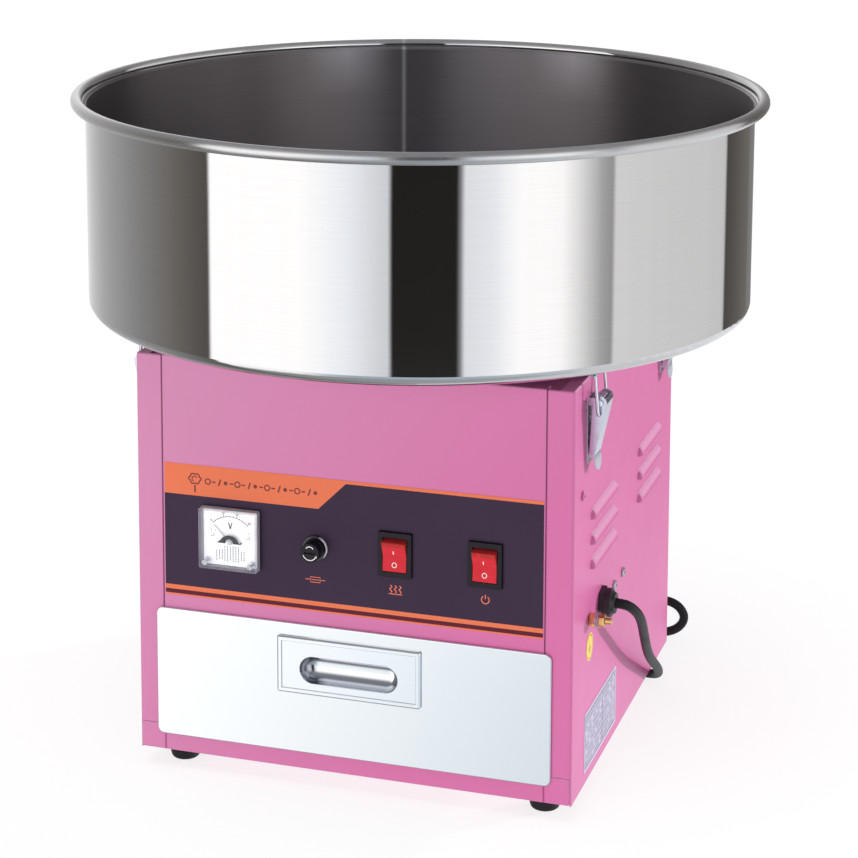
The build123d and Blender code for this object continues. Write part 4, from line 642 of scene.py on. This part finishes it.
# ornament on the title band: a floss-on-a-stick figure and a run of beads and dashes
p = Print(film)
p.ribbon([(-117.5 + 4.4 * (1 + 0.10 * math.cos(6 * t)) * math.cos(t), 222.8 + 3.7 * (1 + 0.10 * math.cos(6 * t)) * math.sin(t))
          for t in [2 * math.pi * i / 60 for i in range(60)]], 1.0, H0, H1, closed=True)
p.arc(-117.8, 222.6, 1.9, 20, 250, 0.8, H0, H1, n=20)
p.ribbon([(-117.5, 218.0), (-117.5, 212.6)], 1.2, H0, H1)
x = -107.5
k = 0
while x < -24:
    if k % 5 == 3:
        p.disc(x, 221.6, 1.45, H0, H1, 20)
    elif k % 5 == 0:
        p.arc(x, 221.6, 1.95, 0, 360, 0.95, H0, H1, n=28, closed=True)
    elif k % 5 == 2:
        p.bar(x, 221.6, 1.1, 5.2, H0, H1, turn=-18)
    else:
        p.bar(x, 221.6, 2.7, 1.1, H0, H1)
    x += 4.55
    k += 1
p.make("band_ornament", "case", INK_MAROON)

# ------------------------------------------------------------------ voltmeter
MX, MZ = -89.8, 181.8
PX, PZ = MX, MZ - 2.6
dial = (0, -164.70, 0)
p = Print(dial)
SR = 18.6
p.arc(PX, PZ, SR, 45, 135, 0.42, H0, H1, n=64)
for i in range(13):
    a = math.radians(135 - 90 * i / 12)
    major = i % 4 == 0
    l0, l1 = SR + 0.1, SR + (2.7 if major else 1.3)
    p.ribbon([(PX + l0 * math.cos(a), PZ + l0 * math.sin(a)), (PX + l1 * math.cos(a), PZ + l1 * math.sin(a))], 0.42 if major else 0.24, H0, H1)
# the unit letter, drawn as two strokes that meet
p.poly([(PX - 1.75, PZ + 14.2), (PX - 0.75, PZ + 14.2), (PX + 0.12, PZ + 10.9), (PX + 0.98, PZ + 14.2), (PX + 1.75, PZ + 14.2),
        (PX + 0.5, PZ + 9.5), (PX - 0.3, PZ + 9.5)], H0, H1)
p.make("dial_scale", "case", INK_DARK)
for i, s in enumerate(("0", "100", "200", "300")):
    a = math.radians(135 - 30 * i)
    digits(s, 2.0, PX + 22.4 * math.cos(a) * 0.93, PZ + 22.0 * math.sin(a) * 0.98, (0, -164.71, 0), "dial_number_%d" % i, "case", INK_DARK)
# faint ruled hatch in the lower part of the card
p = Print(dial)
for i in range(11):
    x = MX - 10.5 + 2.1 * i
    top = -6.0 if 2 < i < 9 else -9.0
    z = MZ + top
    j = 0
    while z > MZ - 16.5:
        ln = 1.1 if (i * 7 + j * 3) % 4 else 0.5
        p.bar(x, z - ln / 2, 0.62, ln, H0, H1)
        z -= ln + 0.55
        j += 1
for sx, dz in ((-1, 0), (1, 0)):
    p.arc(MX + sx * 13.6, MZ + 1.6, 1.3, 200, 430, 0.35, H0, H1, n=18)
    p.bar(MX + sx * 14.4, MZ + 5.0, 0.35, 1.4, H0, H1)
    p.bar(MX + sx * 11.4, MZ + 4.8, 0.35, 1.2, H0, H1)
p.make("dial_hatch", "case", ink("ink_grey", (0.035, 0.035, 0.075)))
# needle bridge: a half-moon plate over the pivot, on two feet
p = Print((PX, -166.35, PZ - 0.6))
n = 28
outer = [(7.1 * math.cos(math.pi * i / n), 5.9 * math.sin(math.pi * i / n)) for i in range(n + 1)]
inner = [(3.0 * math.cos(math.pi * i / n), 3.3 * math.sin(math.pi * i / n)) for i in range(n, -1, -1)]
p.poly(outer + inner, 0.0, 1.1)
p.bar(7.6, 0.35, 2.6, 0.8, 0.0, 0.8)
p.bar(-7.6, 0.35, 2.6, 0.8, 0.0, 0.8)
br = p.make("needle_bridge", "case", BLACK)
bv = br.modifiers.new("edge", "BEVEL")
bv.width, bv.segments, bv.limit_method = 0.00018, 2, "ANGLE"
p = Print((0, -164.72, 0))
for sx in (-8.2, 8.2):
    p.disc(PX + sx, PZ - 0.25, 0.55, 0.0, 1.66, 16)
p.make("bridge_feet", "case", BLACK)
p = Print((PX, -166.05, PZ))
p.disc(0, 0, 1.25, 0.0, 0.55, 24)
p.bar(0.0, 0.0, 1.9, 0.35, 0.55, 0.72, turn=40)
p.make("needle_hub", "voltmeter_movement", WHITE)

# ------------------------------------------------------------------ marks on the rockers and the fuse cap
TILT = math.radians(9.0)


def tilted(y, z):
    return (y * math.cos(TILT) - z * math.sin(TILT), y * math.sin(TILT) + z * math.cos(TILT))


for body, sx in (("heat_switch", 34.0), ("power_switch", 99.7)):
    ry, rz = -161.0, 183.1
    vy, vz = tilted(-2.5, 10.6)
    oy, oz = tilted(-4.0, 0.0)
    up = Print((sx, ry + oy, rz + oz), (1, 0, 0), (0, vy, vz))
    up.bar(-0.6, 3.0, 0.6, 2.8, -0.02, 0.07)
    up.make(body + "_on_mark", body, INK_WHITE)
    vy, vz = tilted(2.5, 10.6)
    dn = Print((sx, ry + oy, rz + oz), (1, 0, 0), (0, vy, vz))
    dn.arc(0.0, -6.4, 1.65, 0, 360, 0.5, -0.02, 0.07, n=36, closed=True)
    dn.make(body + "_off_mark", body, INK_WHITE)

FY = -162.75 - 12.0
p = Print((-25.8, FY, 181.2))
for r0, a0, a1 in ((5.2, 200, 330),):
    p.arc(0, 0, r0, a0, a1, 0.55, 0.004, 0.06, n=24)
a = math.radians(330)
p.poly([(5.2 * math.cos(a) - 1.1, 5.2 * math.sin(a) - 0.55), (5.2 * math.cos(a) + 0.75, 5.2 * math.sin(a) - 0.6), (5.2 * math.cos(a) + 0.55, 5.2 * math.sin(a) + 1.3)], 0.004, 0.06)
p.arc(0, 1.8, 3.0, 30, 150, 0.6, 0.004, 0.06, n=20)
p.make("fuse_cap_mark", "fuse_carrier", INK_WHITE)

# ------------------------------------------------------------------ plug pins
bm = bmesh.new()
for dy, dz in ((-5.5, -3.5), (5.5, -3.5), (0.0, 5.0)):
    g = bmesh.ops.create_cone(bm, cap_ends=True, segments=24, radius1=0.0024, radius2=0.0021, depth=0.018,
                              matrix=Matrix.Translation(Vector((-136.8, 214.0 + dy, 12.0 + dz)) * MM) @ Matrix.Rotation(math.radians(-90), 4, "Y"))
pins = finish_mesh(bm, "plug_pins", "case", BRASS, True)
bv = pins.modifiers.new("edge", "BEVEL")
bv.width, bv.segments, bv.limit_method = 0.0006, 3, "ANGLE"

# ------------------------------------------------------------------ stage
bm = bmesh.new()
bmesh.ops.create_grid(bm, x_segments=2, y_segments=2, size=14.0)
me = bpy.data.meshes.new("floor")
bm.to_mesh(me)
bm.free()
floor = bpy.data.objects.new("floor", me)
bpy.context.scene.collection.objects.link(floor)
t = Tree("pale_floor")
em = t.n("ShaderNodeEmission")
em.inputs["Color"].default_value = (1, 1, 1, 1)
em.inputs["Strength"].default_value = 0.80
df = t.n("ShaderNodeBsdfDiffuse")
t.put(df.inputs["Color"], t.mix(t.noise(2.0, 2.0), (0.25, 0.25, 0.25), (0.27, 0.27, 0.27)))
ad = t.n("ShaderNodeAddShader")
t.t.links.new(em.outputs[0], ad.inputs[0])
t.t.links.new(df.outputs[0], ad.inputs[1])
floor.data.materials.append(t.done(ad.outputs[0]))
floor.visible_glossy = False
floor.visible_shadow = False

# ------------------------------------------------------------------ light
YAW, PITCH = 18.3383, 8.4606
scene = bpy.context.scene
world = bpy.data.worlds.new("studio")
scene.world = world
world.use_nodes = True
wt = world.node_tree
wt.nodes.clear()
W = Tree.__new__(Tree)
W.m, W.t = None, wt
out = wt.nodes.new("ShaderNodeOutputWorld")
d = W.n("ShaderNodeTexCoord").outputs["Generated"]
dx, dy, dz = W.xyz(d)
yw = math.radians(YAW)
toward = W.math("ADD", W.math("MULTIPLY", dx, math.sin(yw)), W.math("MULTIPLY", dy, -math.cos(yw)))
right = W.math("ADD", W.math("MULTIPLY", dx, math.cos(yw)), W.math("MULTIPLY", dy, math.sin(yw)))
gam = W.math("ARCTAN2", right, toward)                       # -pi..pi, 0 towards the viewer
f = W.math("DIVIDE", W.math("ADD", gam, math.pi), 2 * math.pi)


def pos(deg):
    return (deg + 180.0) / 360.0


def grey(v, k=(1.0, 1.0, 1.0)):
    return tuple(v * c for c in k)


WARM, COOL, BLK = (1.0, 0.93, 0.86), (0.95, 0.985, 1.03), (0.022, 0.020, 0.018)
bands = W.ramp(f, [
    (pos(-180), grey(1.0)), (pos(-138), grey(0.52)), (pos(-113), grey(0.33)), (pos(-90), grey(0.19, WARM)), (pos(-75.6), grey(0.11, WARM)),
    (pos(-75.1), grey(1.50)), (pos(-40), grey(1.48)), (pos(-26.5), grey(1.30, COOL)), (pos(-13.2), grey(0.96, COOL)), (pos(-10.8), grey(0.93, COOL)),
    (pos(-10.3), BLK), (pos(12.5), BLK), (pos(13.0), grey(1.08, COOL)), (pos(23), grey(1.2, COOL)), (pos(33), grey(1.46)), (pos(47), grey(1.42)),
    (pos(62), grey(0.53)), (pos(66.8), grey(0.40)), (pos(67.2), grey(0.92)), (pos(87), grey(0.86)), (pos(112), grey(0.82)),
    (pos(125.1), grey(0.76)), (pos(125.6), grey(0.09, WARM)), (pos(145), grey(0.17, WARM)), (pos(165), grey(0.26)), (pos(180), grey(0.60))])
# well below the horizon: the pale table, brightest to the left; overhead, a dim ceiling
low = W.ramp(f, [
    (pos(-180), grey(0.70, COOL)), (pos(-100), grey(0.30)), (pos(-76), grey(0.14)), (pos(-73), grey(1.38)), (pos(-44), grey(1.34)), (pos(-39.5), grey(1.14)), (pos(-33), grey(0.80, (0.88, 1.01, 1.09))),
    (pos(-24), grey(0.62, (0.78, 0.95, 1.09))), (pos(20), grey(0.66, (0.78, 0.95, 1.09))), (pos(90), grey(1.0, COOL)), (pos(180), grey(0.95, COOL))])
under = W.math("MULTIPLY", W.math("SUBTRACT", -0.30, dz), 22.0, clamp=True)
env = W.mix(under, bands, low)
deep = W.ramp(f, [(pos(-180), grey(0.60)), (pos(-85), grey(0.13)), (pos(-72), grey(0.34, COOL)), (pos(40), grey(0.50, COOL)), (pos(75), grey(0.85, COOL)), (pos(180), grey(0.80))])
env = W.mix(W.math("MULTIPLY", W.math("SUBTRACT", -0.50, dz), 5.0, clamp=True), env, deep)
sky = W.math("MULTIPLY", W.math("SUBTRACT", dz, 0.30), 3.0, clamp=True)
env = W.mix(sky, env, (0.30, 0.30, 0.32))
lp = W.n("ShaderNodeLightPath")
bg_gloss, bg_diff, bg_cam = (W.n("ShaderNodeBackground") for _ in range(3))
W.put(bg_gloss.inputs["Color"], env)
bg_gloss.inputs["Strength"].default_value = 1.0
bg_diff.inputs["Color"].default_value = (1, 1, 1, 1)
bg_diff.inputs["Strength"].default_value = 0.37
bg_cam.inputs["Color"].default_value = (1, 1, 1, 1)
bg_cam.inputs["Strength"].default_value = 1.0
m1, m2 = W.n("ShaderNodeMixShader"), W.n("ShaderNodeMixShader")
W.put(m1.inputs[0], lp.outputs["Is Glossy Ray"])
wt.links.new(bg_diff.outputs[0], m1.inputs[1])
wt.links.new(bg_gloss.outputs[0], m1.inputs[2])
W.put(m2.inputs[0], lp.outputs["Is Camera Ray"])
wt.links.new(m1.outputs[0], m2.inputs[1])
wt.links.new(bg_cam.outputs[0], m2.inputs[2])
wt.links.new(m2.outputs[0], out.inputs["Surface"])


def sun(name, travel, strength, angle, color=(1, 1, 1), spec=0.3):
    l = bpy.data.lights.new(name, "SUN")
    l.energy, l.angle, l.color = strength, math.radians(angle), color
    l.specular_factor = spec
    o = bpy.data.objects.new(name, l)
    o.rotation_mode = "QUATERNION"
    o.rotation_quaternion = Vector(travel).to_track_quat("-Z", "Y")
    o.visible_glossy = False
    scene.collection.objects.link(o)
    return o


sun("side_light", (-13, -11.5, -2.2), 2.7, 2.5)
sun("front_light", (0.35, 0.93, 0.02), 1.42, 50.0)
sun("top_light", (0.1, 0.2, -1.0), 1.15, 40.0)

# ------------------------------------------------------------------ camera
cam = bpy.data.cameras.new("camera")
co = bpy.data.objects.new("camera", cam)
scene.collection.objects.link(co)
HOME = (0.5571, -1.78635, 0.79682)
co.location = HOME
co.rotation_euler = (math.radians(90 - PITCH), 0.0, math.radians(YAW))
cam.sensor_width = 36.0
cam.sensor_fit = "HORIZONTAL"
cam.lens = 2530.86 / 858 * 36.0
cam.clip_start, cam.clip_end = 0.05, 60.0
# the lens shift belongs to the home view only
for prop, value in (("shift_x", (429 - 375.106) / 858), ("shift_y", (47.493 - 429) / 858)):
    setattr(cam, prop, value)
    dr = cam.driver_add(prop).driver
    dr.type = "SCRIPTED"
    v = dr.variables.new()
    v.name = "px"
    v.type = "SINGLE_PROP"
    v.targets[0].id = co
    v.targets[0].data_path = "location[0]"
    dr.expression = "%.6f * (abs(px - %.4f) < 0.0005)" % (value, HOME[0])
scene.camera = co
scene.view_settings.view_transform = "Standard"
scene.view_settings.look = "None"
